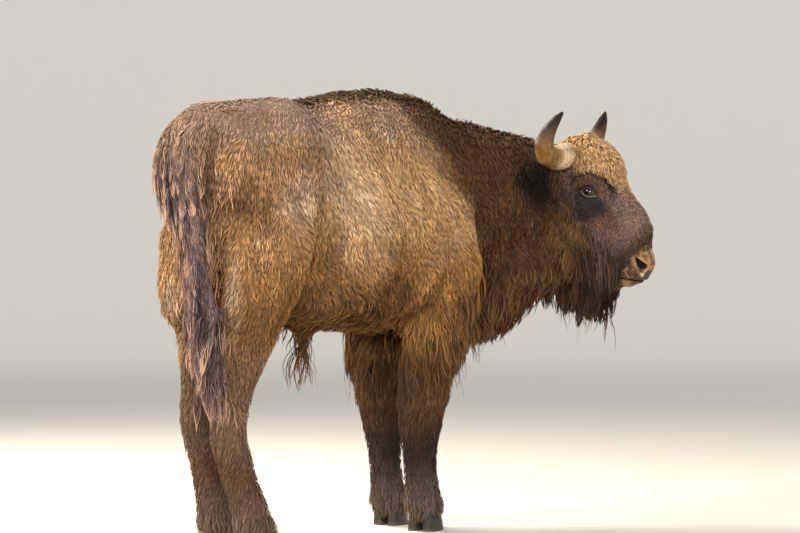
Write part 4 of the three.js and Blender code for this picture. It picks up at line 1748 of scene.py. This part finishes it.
@dataclass(frozen=True)
class LongHair:
    """A growth of long locks: where it is, its size and how it hangs."""

    name: str
    spacing: float
    length: float
    width: float
    tip: str
    tip_share: float
    combing: Combing
    slot: str = "long_hair"

    def reach(self, spots: Spots) -> Array:
        """Works out how much of its full length each lock has.

        Args:
            spots: The roots.

        Returns:
            The shares.
        """
        body = spots.body
        beard = np.interp(spots.head @ np.array(ALONG_BEARD), *np.array(BEARD_EDGE).T)
        mane = np.interp(body @ np.array(ALONG_MANE), *np.array(MANE_EDGE).T)
        if self.name == "locks_beard":
            return np.clip((body[:, 2] - beard) / HANG, 0.05, 0.24) / self.length
        if self.name == "locks_mane":
            return np.clip((body[:, 2] - mane) / HANG, 0.04, 0.21) / self.length
        if self.name == "locks_wisps":
            floor = mane + (beard - mane) * (spots.of(Region.BEARD) > 0.4) - 0.022
            return np.clip((body[:, 2] - floor) / HANG, 0.04, 0.25) / self.length
        if self.name in ("locks_cuffs", "locks_feet"):
            floor = 0.46 if self.name == "locks_cuffs" else 0.028
            return np.clip((body[:, 2] - floor) / HANG / self.length, 0.25, 1.1)
        if self.name == "locks_tail":
            return 0.45 + 0.65 * ease(spots.body[:, 2], 1.45, 1.05)
        return np.ones(len(spots.place))

    def weight(self, spots: Spots) -> Array:
        """Works out how densely the locks grow.

        Args:
            spots: Places on the skin.

        Returns:
            The shares, about 0 to 1.
        """
        head, body, out = mirrored(spots.head), spots.body, spots.out
        x, z = body[:, 0], body[:, 2]
        side = ease(np.abs(body[:, 1]), 0.07, 0.03)
        trunk = spots.of(Region.TRUNK) + spots.of(Region.NECK)
        face = spots.of(Region.HEAD)
        low = ease(x, -0.55, -0.45) * ease(x, 0.36, 0.26)
        low = low * ease(-out[:, 2], 0.0, 0.35) * ease(z, 0.98, 0.9)
        back = ease(-out[:, 0], 0.45, 0.75) * ease(z, 0.55, 0.75) * ease(z, 1.3, 1.15)
        thigh = spots.of(Region.TRUNK) + spots.of(Region.HINDLEGS)
        tail = spots.of(Region.TAIL) + 0.8 * beside_tail(spots)
        throat = spots.of(Region.NECK) * ease(z, 1.12, 1.0)
        foot = ease(z, 0.05, 0.07) * ease(z, 0.165, 0.13)
        chest = dark_front(body, 0.0 * x, 0.0 * x) * trunk_or_foreleg(spots)
        chest = chest * ease(z, 1.05, 0.96) * ease(z, 0.64, 0.72)
        mane, beard = spots.of(Region.MANE), spots.of(Region.BEARD)
        crest = trunk * side * ease(out[:, 2], 0.75, 0.92)
        tuft = spots.of(Region.TAIL_TUFT)
        where = {
            "locks_brow": face * wool_on_brow(head),
            "locks_cheek": face * ease(head[:, 2], -0.15, -0.21) * ease(head[:, 0], 0.555, 0.5),
            "locks_beard": beard,
            "locks_chin": (face + beard) * ease(head[:, 2], -0.13, -0.145) * ease(head[:, 0], 0.54, 0.57),
            "locks_mane": np.clip(mane + throat + chest, 0, 1),
            "locks_wisps": np.clip(mane + beard + chest, 0, 1) * ease(-out[:, 2], -0.4, 0.3),
            "locks_tail": np.clip(tail * ease(z, 1.5, 1.34) + tuft, 0, 1) * (0.6 + 0.4 * ease(z, 0.9, 1.0)),
            "locks_sheath": spots.of(Region.SHEATH),
            "locks_cuffs": spots.of(Region.FORELEGS) * ease(z, 0.36, 0.46) * ease(z, 0.95, 0.8),
            "locks_crest": crest * ease(x, -0.55, -0.35) * ease(z, 1.45, 1.52),
            "locks_ears": spots.of(Region.EARS),
            "locks_feet": spots.of(Region.FORELEGS) * foot + spots.of(Region.HINDLEGS) * foot,
            "locks_edges": np.clip(thigh * back * 0.9 + spots.of(Region.TRUNK) * low, 0, 1),
        }
        return where[self.name]


GROWTHS = (
    LongHair("locks_brow", 0.01, 0.052, 0.0056, "wool", 0.2,
             Combing(7, (0.4, 1.0), 0.12, 0.3, 1.5, 0.16, 0.5, 0.026, root_painted_shade=0.72)),
    LongHair("locks_cheek", 0.0115, 0.08, 0.006, "beard_tip", 0.3,
             Combing(5, (0.4, 1.0), 0.5, 0.1, 0.7, 0.14, 0.5, 0.03, 0.2)),
    LongHair("locks_beard", 0.01, 0.175, 0.0066, "black", 0.8,
             Combing(7, (0.4, 1.3), 0.9, 0.08, 0.7, 0.08, 0.9, 0.05, 0.55)),
    LongHair("locks_chin", 0.0066, 0.062, 0.004, "black", 0.8,
             Combing(5, (0.8, 2.0), 0.8, 0.1, 0.7, 0.14, 0.7, 0.02, 0.4)),
    LongHair("locks_mane", 0.0143, 0.15, 0.0064, "beard_tip", 0.75,
             Combing(7, (0.4, 1.3), 0.9, 0.12, 0.7, 0.08, 0.88, 0.05, 0.55)),
    LongHair("locks_wisps", 0.029, 0.17, 0.0034, "beard_tip", 0.5,
             Combing(7, (0.4, 1.2), 0.9, 0.12, 0.8, 0.1, 0.86, 0.05, 0.5)),
    LongHair("locks_tail", 0.0106, 0.24, 0.0046, "tail_tip", 0.8,
             Combing(8, (0.3, 1.3), 0.9, 0.12, 1.4, 0.07, 0.93, 0.05, 0.75, tip_shade=1.25)),
    LongHair("locks_sheath", 0.0105, 0.165, 0.004, "beard_tip", 0.6,
             Combing(7, (0.3, 1.2), 0.9, 0.14, 0.9, 0.12, 0.85, 0.035, 0.9)),
    LongHair("locks_cuffs", 0.0176, 0.085, 0.0064, "umber", 0.3,
             Combing(6, (0.4, 1.2), 0.75, 0.12, 0.8, 0.16, 0.6, 0.04, 0.25), "leg_coat"),
    LongHair("locks_feet", 0.01, 0.055, 0.0044, "hind_shank", 0.4,
             Combing(5, (0.6, 1.4), 0.7, 0.1, 0.8, 0.16, 0.5, 0.025, 0.15), "leg_coat"),
    LongHair("locks_crest", 0.011, 0.055, 0.006, "crest", 0.5,
             Combing(5, (0.8, 1.6), 0.0, 0.1, 0.7, 0.3, 0.3), "dark_coat"),
    LongHair("locks_ears", 0.0095, 0.06, 0.006, "umber", 0.3,
             Combing(5, (0.6, 2.0), 0.5, 0.14, 0.8, 0.25, 0.4), "dark_coat"),
    LongHair("locks_edges", 0.019, 0.06, 0.0056, "golden", 0.5,
             Combing(5, (0.6, 1.3), 0.3, 0.12, 0.8, 0.2, 0.45, 0.03), "body_coat"),
)


@dataclass
class LongCoat:
    """The locks of brow, cheeks, beard, mane, cuffs, tail and crest."""

    hide: Hide
    material: bpy.types.Material
    shortest: float = 0.012

    def build(self) -> None:
        """Grows every kind of long hair."""
        for number, kind in enumerate(GROWTHS):
            weight = kind.weight(self.hide.spots)
            follicles = self.hide.sow(np.clip(weight, 0, 1) / kind.spacing**2, 300 + number)
            self.grow(kind, follicles, 400 + number)

    def grow(self, kind: LongHair, follicles: Follicles, seed: int) -> None:
        """Makes one piece of long hair.

        Args:
            kind: The growth.
            follicles: Its roots.
            seed: Which random locks.
        """
        rng = np.random.default_rng(seed)
        count = len(follicles)
        shade = varied(follicles, markings(follicles.spots), seed + 50, 0.22)
        clumps = noise(follicles.spots.place, 0.035, 81) + 0.5 * noise(follicles.spots.place, 0.015, 82)
        length = kind.length * kind.reach(follicles.spots) * rng.uniform(0.7, 1.15, count)
        if kind.name in ("locks_beard", "locks_mane", "locks_tail"):
            clumps = -np.abs(clumps) * 0.8
        length = np.maximum(length * (1.0 + kind.combing.ragged * clumps), self.shortest)
        width = kind.width * rng.uniform(0.55, 1.35, count)
        bands = noise(follicles.spots.place * np.array([1.0, 1.0, 0.2]), 0.018, 83)
        share = kind.tip_share * (0.25 + 1.25 * ease(bands, -0.25, 0.4)) * rng.uniform(0.7, 1.2, count)
        # no pale tips on locks in the painted shadow behind the horns
        share = share * (1.0 - np.clip(1.5 * shade_behind_horn(mirrored(follicles.spots.head)), 0, 1))
        tip = blend(shade, COAT[kind.tip], np.clip(share, 0, 1))
        hair = Hair(follicles, length, width, shade, tip, kind.combing, seed)
        piece = link(hair.mesh(kind.name), kind.name)
        finish_piece(piece, self.material)


# ------------------------------ horns, claws, eyes


@dataclass
class Carved:
    """A hard part: solids of the frame made smooth and fine, and then given their relief."""

    nodes: tuple[str, ...]
    name: str
    voxel: float

    def smooth(self, rounds: int) -> tuple[bpy.types.Mesh, Array, Array]:
        """Wraps the solids in an even mesh and smooths it.

        Args:
            rounds: How many times the mesh is smoothed.

        Returns:
            The mesh, its places and its normals.
        """
        places, tris, count = [], [], 0
        for node in self.nodes:
            found, faces = solid_of(node)
            places.append(found)
            tris.append(faces + count)
            count += len(found)
        mesh = remeshed(np.concatenate(places), np.concatenate(tris), self.voxel, self.name)
        mesh.shade_smooth()
        spots, edges = vectors_of(mesh.vertices, "co"), indices_of(mesh.edges, "vertices", 2)
        for _ in range(rounds):
            spots = relaxed(relaxed(spots, edges, 1, 0.6), edges, 1, -0.5)
        self.store(mesh, spots)
        return mesh, spots, vectors_of(mesh.vertices, "normal")

    @staticmethod
    def store(mesh: bpy.types.Mesh, places: Array) -> None:
        """Moves a mesh's vertices."""
        mesh.vertices.foreach_set("co", places.astype(np.float32).ravel())
        mesh.update()


@dataclass
class Horn(Carved):
    """A horn: ringed and shaggy at its base, smooth and dark at its tip."""

    smoothings: int = 48
    ring: float = 0.0125
    ring_height: float = 0.0013

    @classmethod
    def of(cls, side: str) -> "Horn":
        """The horn on a side of the head."""
        return cls((f"horn_{side}",), f"horn_{side}_sheath", 3.5 * MM)

    def build(self, material: bpy.types.Material) -> None:
        """Makes the horn.

        Args:
            material: Its material.
        """
        mesh, places, normals = self.smooth(self.smoothings)
        head = mirrored(in_head(places))
        base = ease(head[:, 1], 0.245, 0.15) * ease(head[:, 0], 0.0, 0.04)
        warp = 0.006 * noise(places, 0.03, 41)
        rings = np.sin((head[:, 1] + warp) * CYCLE / self.ring)
        rough = noise(places, 0.008, 42)
        relief = base * (self.ring_height * rings + 0.0007 * rough) + 0.0004 * noise(places, 0.02, 43)
        self.store(mesh, places + normals * relief[:, None])
        tip = ease(head[:, 0], 0.01, -0.055)
        inner = ease(normals @ HEAD[:3, 0], -0.1, -0.75) * ease(tip, 0.8, 0.2)
        shade = plain("horn", len(places))
        shade = lay(shade, "horn_worn", ease(noise(places, 0.05, 44), -0.2, 0.8) * 0.6)
        inner = np.clip(inner + 1.5 * near(head, (0.085, 0.17, -0.085), (0.045, 0.034, 0.055)), 0, 1)
        shade = lay(shade, "horn_base", 0.92 * inner)
        streaky = noise(places * np.array([1.0, 1.0, 0.5]), 0.006, 45) + 0.8 * noise(places, 0.013, 46)
        shade = lay(shade, "horn_grain", 0.62 * ease(streaky, -0.1, 0.9) * (1.0 - 0.7 * inner))
        # painted shade in the grooves between the growth rings
        shade = lay(shade, "horn_groove", 0.75 * base * ease(rings + rough, 0.2, -0.9))
        shade = lay(shade, "horn_dark", 0.7 * ease(head[:, 0], 0.04, -0.02))
        shade = lay(shade, "horn_tip", 0.95 * tip)
        paint(mesh, "coat", shade)
        finish_piece(link(mesh, self.name), material, self.nodes)


@dataclass
class Foot(Carved):
    """The two claws and two dewclaws of a foot."""

    smoothings: int = 5
    ring: float = 0.0085
    ring_height: float = 0.0006

    @classmethod
    def of(cls, leg: str) -> "Foot":
        """The claws of a leg."""
        nodes = tuple(f"{kind}_{leg}_{side}" for kind in ("hoof", "dewclaw") for side in ("outer", "inner"))
        return cls(nodes, f"claws_{leg}", 4.2 * MM)

    def build(self, material: bpy.types.Material) -> None:
        """Makes the claws, with growth rings that run round their walls.

        Args:
            material: Their material.
        """
        mesh, places, normals = self.smooth(self.smoothings)
        wall = ease(np.abs(normals[:, 2]), 0.75, 0.45)
        height = places[:, 2] + 0.004 * noise(places, 0.05, 51)
        rings = np.sin(height * CYCLE / self.ring)
        relief = wall * (self.ring_height * rings) + 0.0004 * noise(places, 0.01, 52)
        moved = places + normals * relief[:, None]
        moved[:, 2] = np.maximum(moved[:, 2], 0.0)
        self.store(mesh, moved)
        shade = plain("claw", len(places))
        shade = lay(shade, "claw_worn", 0.5 * ease(noise(places, 0.03, 53), -0.1, 0.9))
        shade = lay(shade, "claw_crown", 0.6 * ease(height, 0.045, 0.075))
        shade = lay(shade, "claw_sole", 0.5 * ease(height, 0.016, 0.002))
        paint(mesh, "coat", shade)
        finish_piece(link(mesh, self.name), material, self.nodes)


@dataclass
class Eye:
    """An eyeball with a dark brown iris and a long oval pupil."""

    side: str
    iris: float = 0.017
    pupil: tuple[float, float] = (0.01, 0.0048)
    bulge: float = 0.0016
    rays: int = 46

    @property
    def sign(self) -> int:
        """1 on the left and -1 on the right."""
        return 1 if self.side == "left" else -1

    def build(self, material: bpy.types.Material) -> None:
        """Makes the eyeball.

        Args:
            material: Its material.
        """
        bm = bmesh.new()
        bmesh.ops.create_uvsphere(bm, u_segments=72, v_segments=54, radius=1.0)
        places = np.array([vert.co for vert in bm.verts]) * (*EYE.ball, EYE.radius)
        reach = np.hypot(places[:, 0], places[:, 1])
        front = places[:, 2] > 0
        places[:, 2] += self.bulge * front * np.clip(1 - (reach / self.iris) ** 2, 0, 1)
        world = from_head(EYE.middle(self.sign) + places @ EYE.axes(self.sign))
        for vert, place in zip(bm.verts, world.tolist()):
            vert.co = place
        bmesh.ops.recalc_face_normals(bm, faces=bm.faces)
        mesh = smooth_mesh(bm, f"eyeball_{self.side}")
        turn = np.arctan2(places[:, 1], places[:, 0])
        rays = 0.5 + 0.5 * np.sin(turn * self.rays + 3 * np.sin(turn * 7))
        shade = plain("eye_white", len(places))
        shade = lay(shade, "iris_rim", ease(reach, self.iris * 1.06, self.iris * 0.98))
        shade = lay(shade, "iris", ease(reach, 0.014, 0.01) * (0.35 + 0.4 * rays))
        slot_shape = np.hypot(places[:, 0] / self.pupil[0], places[:, 1] / self.pupil[1])
        shade = lay(shade, "pupil", ease(slot_shape, 1.12, 0.92))
        shade = np.where(front[:, None], shade, COAT["eye_back"])
        paint(mesh, "coat", shade)
        finish_piece(link(mesh, mesh.name), material, (f"eye_{self.side}",))


# ------------------------------ materials


def add_node(
    tree: bpy.types.NodeTree, kind: str, settings: dict | None = None, inputs: dict | None = None
) -> bpy.types.Node:
    """Adds a node with its settings, and its inputs' values or links.

    Args:
        tree: The material's nodes.
        kind: The shader node's type.
        settings: Properties to set.
        inputs: A value or another node's output for each input, by name or number.

    Returns:
        The node.
    """
    node = tree.nodes.new(f"ShaderNode{kind}")
    for key, value in (settings or {}).items():
        setattr(node, key, value)
    for key, value in (inputs or {}).items():
        if isinstance(value, bpy.types.NodeSocket):
            tree.links.new(value, node.inputs[key])
        else:
            node.inputs[key].default_value = value
    return node


@dataclass(frozen=True)
class Finish:
    """A material whose colour comes from the pieces' own colours, with small relief of its own."""

    name: str
    roughness: float
    specular: float = 0.5
    sheen: float = 0.0
    sheen_tint: str = "#ffffff"
    coat: float = 0.0

    def start(self) -> tuple[bpy.types.Material, bpy.types.NodeTree, bpy.types.Node, bpy.types.Node]:
        """Starts the material.

        Returns:
            The material, its nodes, its shader and the node that reads the colours.
        """
        material = bpy.data.materials.new(self.name)
        material.use_nodes = True
        tree = material.node_tree
        tree.nodes.clear()
        shader = add_node(tree, "BsdfPrincipled", inputs={
            "Roughness": self.roughness,
            "Specular IOR Level": self.specular,
            "Sheen Weight": self.sheen,
            "Sheen Roughness": 0.45,
            "Sheen Tint": (*linear(self.sheen_tint), 1.0),
            "Coat Weight": self.coat,
            "Coat Roughness": 0.04,
        })
        add_node(tree, "OutputMaterial", inputs={"Surface": shader.outputs["BSDF"]})
        shades = add_node(tree, "Attribute", {"attribute_name": "coat"})
        return material, tree, shader, shades

    def made(self) -> bpy.types.Material:
        """Makes the whole material."""
        raise NotImplementedError


def varied_shade(
    tree: bpy.types.NodeTree, shades: bpy.types.Node, share: bpy.types.NodeSocket, low: float, high: float
) -> bpy.types.NodeSocket:
    """Makes the pieces' own colour darker or lighter by a pattern.

    Args:
        tree: The material's nodes.
        shades: The node that reads the colours.
        share: The pattern.
        low: The lightness where the pattern is 0.
        high: The lightness where it is 1.

    Returns:
        The output with the colour.
    """
    level = add_node(tree, "MapRange", inputs={"Value": share, "To Min": low, "To Max": high})
    return add_node(tree, "VectorMath", {"operation": "SCALE"},
                    {0: shades.outputs["Color"], "Scale": level.outputs["Result"]}).outputs["Vector"]


class Wool(Finish):
    """Woolly hair, grown and never groomed: fine lines run along each tuft, matt with a soft rim of light.

    A real hair is about 0.05 mm thick, too fine to show, so each line stands for a dozen of them.
    """

    hairs_to_mm: ClassVar[Triple] = (1.6, 0.07, 1.0)  # a line is 0.6 mm wide and 14 mm long

    def made(self) -> bpy.types.Material:
        """Makes the material."""
        material, tree, shader, shades = self.start()
        strand = add_node(tree, "UVMap", {"uv_map": "strand"})
        stretch = add_node(tree, "Mapping", inputs={
            "Vector": strand.outputs["UV"], "Scale": self.hairs_to_mm})
        hairs = add_node(tree, "TexNoise", {"noise_dimensions": "2D"},
                         {"Vector": stretch.outputs["Vector"], "Scale": 1.0, "Detail": 2.0, "Roughness": 0.6})
        colour = varied_shade(tree, shades, hairs.outputs["Fac"], 0.5, 1.48)
        tree.links.new(colour, shader.inputs["Base Color"])
        bump = add_node(tree, "Bump", inputs={
            "Strength": 0.55, "Distance": 0.001, "Height": hairs.outputs["Fac"]})
        tree.links.new(bump.outputs["Normal"], shader.inputs["Normal"])
        return material


class HairedHide(Finish):
    """Hide: short flat hair that gives a dull mottled ground, and bare pebbled skin on nose and lids.

    The bundles of short hair are drawn 2.4 mm wide, since single ones are too fine to show.
    """

    bundles: ClassVar[float] = 420.0  # bundles of hair to the metre, 2.4 mm each
    clumps: ClassVar[float] = 95.0  # clumps of them, 10 mm each
    pebbles: ClassVar[float] = 300.0  # the pebbles of bare skin, 3 mm each

    def made(self) -> bpy.types.Material:
        """Makes the material."""
        material, tree, shader, shades = self.start()
        place = add_node(tree, "TexCoord")
        hair = add_node(tree, "TexNoise", inputs={
            "Vector": place.outputs["Object"], "Scale": self.bundles,
            "Detail": 4.0, "Roughness": 0.65, "Distortion": 0.6})
        clumps = add_node(tree, "TexNoise", inputs={
            "Vector": place.outputs["Object"], "Scale": self.clumps, "Detail": 3.0, "Roughness": 0.6})
        pebbles = add_node(tree, "TexVoronoi", {"feature": "DISTANCE_TO_EDGE"},
                           {"Vector": place.outputs["Object"], "Scale": self.pebbles})
        bare = add_node(tree, "Attribute", {"attribute_name": "bare"})
        both = add_node(tree, "Math", {"operation": "ADD"},
                        {0: hair.outputs["Fac"], 1: clumps.outputs["Fac"]})
        half = add_node(tree, "Math", {"operation": "MULTIPLY"}, {0: both.outputs["Value"], 1: 0.5})
        rise = add_node(tree, "MapRange", inputs={"Value": pebbles.outputs["Distance"], "From Max": 0.12})
        height = add_node(tree, "Mix", {"data_type": "FLOAT"},
                          {0: bare.outputs["Fac"], 2: half.outputs["Value"], 3: rise.outputs["Result"]})
        colour = varied_shade(tree, shades, half.outputs["Value"], 0.45, 1.5)
        tree.links.new(colour, shader.inputs["Base Color"])
        rough = add_node(tree, "MapRange", inputs={
            "Value": bare.outputs["Fac"], "To Min": 0.8, "To Max": 0.36})
        tree.links.new(rough.outputs["Result"], shader.inputs["Roughness"])
        bump = add_node(tree, "Bump", inputs={
            "Strength": 0.5, "Distance": 0.0012, "Height": height.outputs[0]})
        tree.links.new(bump.outputs["Normal"], shader.inputs["Normal"])
        return material


class Keratin(Finish):
    """Keratin, grown in rings and worn by rubbing: satin, with a fine grain and scuffed dull patches."""

    grain: ClassVar[float] = 260.0  # lumps of the grain to the metre, 4 mm each
    patches: ClassVar[float] = 45.0  # scuffed patches, 22 mm each

    def made(self) -> bpy.types.Material:
        """Makes the material."""
        material, tree, shader, shades = self.start()
        place = add_node(tree, "TexCoord")
        grain = add_node(tree, "TexNoise", inputs={
            "Vector": place.outputs["Object"], "Scale": self.grain,
            "Detail": 5.0, "Roughness": 0.7, "Distortion": 1.5})
        patch = add_node(tree, "TexNoise", inputs={
            "Vector": place.outputs["Object"], "Scale": self.patches, "Detail": 4.0, "Roughness": 0.6})
        colour = varied_shade(tree, shades, patch.outputs["Fac"], 0.55, 1.42)
        tree.links.new(colour, shader.inputs["Base Color"])
        rough = add_node(tree, "MapRange", inputs={
            "Value": patch.outputs["Fac"], "To Min": 0.34, "To Max": 0.68})
        tree.links.new(rough.outputs["Result"], shader.inputs["Roughness"])
        bump = add_node(tree, "Bump", inputs={
            "Strength": 0.4, "Distance": 0.0006, "Height": grain.outputs["Fac"]})
        tree.links.new(bump.outputs["Normal"], shader.inputs["Normal"])
        return material


class WetEye(Finish):
    """The eye: brown iris and black pupil under a clear wet layer, which gives one sharp highlight."""

    def made(self) -> bpy.types.Material:
        """Makes the material."""
        material, tree, shader, shades = self.start()
        tree.links.new(shades.outputs["Color"], shader.inputs["Base Color"])
        return material


# ------------------------------ studio and camera


@dataclass(frozen=True)
class Lamp:
    """A square soft light that points at the animal."""

    name: str
    place: Triple
    size: float
    power: float
    shade: str

    def build(self) -> None:
        """Makes the light."""
        data = bpy.data.lights.new(self.name, "AREA")
        data.shape = "SQUARE"
        data.size = self.size
        data.energy = self.power
        data.color = linear(self.shade)
        lamp = bpy.data.objects.new(self.name, data)
        lamp.location = self.place
        lamp.rotation_euler = (Vector((0, 0, 1.0)) - lamp.location).to_track_quat("-Z", "Y").to_euler()
        bpy.context.scene.collection.objects.link(lamp)


LAMPS = (
    Lamp("top_back", (0.6, 4.2, 5.0), 2.6, 640.0, "#fff0d8"),
    Lamp("front_fill", (-7.0, -3.2, 3.8), 2.8, 440.0, "#fffaf2"),
    Lamp("left_key", (-5.0, 2.2, 4.6), 2.4, 330.0, "#fff6e8"),
    Lamp("head_side", (-0.5, -6.5, 3.2), 3.0, 125.0, "#fff8ec"),
)


@dataclass(frozen=True)
class Studio:
    """A pale round floor with a curved wall, soft lights and the camera."""

    toward: Triple = (0.848, 0.53, 0.0)
    stand: Triple = (-8.7232, -5.3896, 1.0)
    lens: float = 123.75
    flat: float = 20.0
    curve: float = 5.0
    wall: float = 12.0
    sky: float = 0.52

    def floor(self) -> None:
        """Makes a wide round floor that curves up into a low wall far behind the animal."""
        profile = [(0.0, 0.0), (8.0, 0.0), (self.flat, 0.0)]
        for angle in np.linspace(0.05, math.pi / 2, 16):
            reach, up = self.curve * math.sin(angle), self.curve * math.cos(angle)
            profile.append((self.flat + reach, self.curve - up))
        profile.append((self.flat + self.curve, self.wall))
        bm = bmesh.new()
        verts = [bm.verts.new((reach, 0.0, up)) for reach, up in profile]
        edges = [bm.edges.new(pair) for pair in zip(verts, verts[1:])]
        round_up = {"cent": (0, 0, 0), "axis": (0, 0, 1), "angle": CYCLE, "steps": 96, "use_merge": True}
        bmesh.ops.spin(bm, geom=verts + edges, **round_up)
        bmesh.ops.remove_doubles(bm, verts=bm.verts, dist=1 * MM)
        bmesh.ops.recalc_face_normals(bm, faces=bm.faces)
        mesh = smooth_mesh(bm, "floor")
        piece = link(mesh, "floor")
        material = bpy.data.materials.new("studio paper")  # a plain pale ground that takes soft shadows
        material.use_nodes = True
        shader = material.node_tree.nodes["Principled BSDF"]
        shader.inputs["Base Color"].default_value = (*linear("#d9d6cf"), 1.0)
        shader.inputs["Roughness"].default_value = 0.9
        tree = material.node_tree
        # the floor glows more with distance, a painted light that keeps the far floor and wall pale
        place = add_node(tree, "TexCoord")
        reach = add_node(tree, "VectorMath", {"operation": "LENGTH"}, {0: place.outputs["Object"]})
        glow = add_node(tree, "MapRange", inputs={
            "Value": reach.outputs["Value"], "From Min": 5.0, "From Max": 22.0, "To Max": 0.26})
        shader.inputs["Emission Color"].default_value = (*linear("#f2eee6"), 1.0)
        tree.links.new(glow.outputs["Result"], shader.inputs["Emission Strength"])
        mesh.materials.append(material)

    def build(self) -> None:
        """Makes the floor, the lights, the sky and the camera."""
        self.floor()
        for lamp in LAMPS:
            lamp.build()
        world = bpy.data.worlds.new("soft sky")
        world.use_nodes = True
        ground = world.node_tree.nodes["Background"]
        ground.inputs["Color"].default_value = (*linear("#eef1f5"), 1.0)
        ground.inputs["Strength"].default_value = self.sky
        scene = bpy.context.scene
        scene.world = world
        scene.view_settings.view_transform = "Standard"
        data = bpy.data.cameras.new("camera")
        data.lens = self.lens
        data.sensor_width = 36.0
        data.clip_end = 60.0
        camera = bpy.data.objects.new("camera", data)
        camera.location = self.stand
        camera.rotation_euler = Vector(self.toward).to_track_quat("-Z", "Y").to_euler()
        scene.collection.objects.link(camera)
        scene.camera = camera


# ------------------------------ the animal


class Wisent:
    """The whole animal."""

    def build(self) -> None:
        """Makes the skin, coat, eyes, horns and claws."""
        wool = Wool("woolly hair", 0.75, 0.18, 0.08, "#f2d9b8").made()  # dull, with a warm edge of light
        hide = HairedHide("haired hide", 0.8, 0.25, 0.05, "#e8d2b4").made()  # a quiet ground below the tufts
        keratin = Keratin("worn horn", 0.5, 0.28).made()  # a low satin sheen, brighter where it is rubbed
        claw = Keratin("hoof horn", 0.6, 0.4).made()  # duller, as dust keeps it
        wet = WetEye("wet eye", 0.06, 0.3, coat=0.35).made()  # smooth and wet
        skin = Skin()
        piece = skin.build()
        skin.dress(piece, hide)
        ground = Hide(skin)
        ShortCoat(ground, wool).build()
        LongCoat(ground, wool).build()
        for side in ("right", "left"):
            Eye(side).build(wet)
            Horn.of(side).build(keratin)
        for leg in ("fore_right", "fore_left", "hind_right", "hind_left"):
            Foot.of(leg).build(claw)


def main() -> None:
    """Builds the scene."""
    logging.basicConfig(level=logging.INFO, format="%(relativeCreated)6d ms  %(message)s")
    Studio().build()
    Wisent().build()


if __name__ == "__main__":
    main()
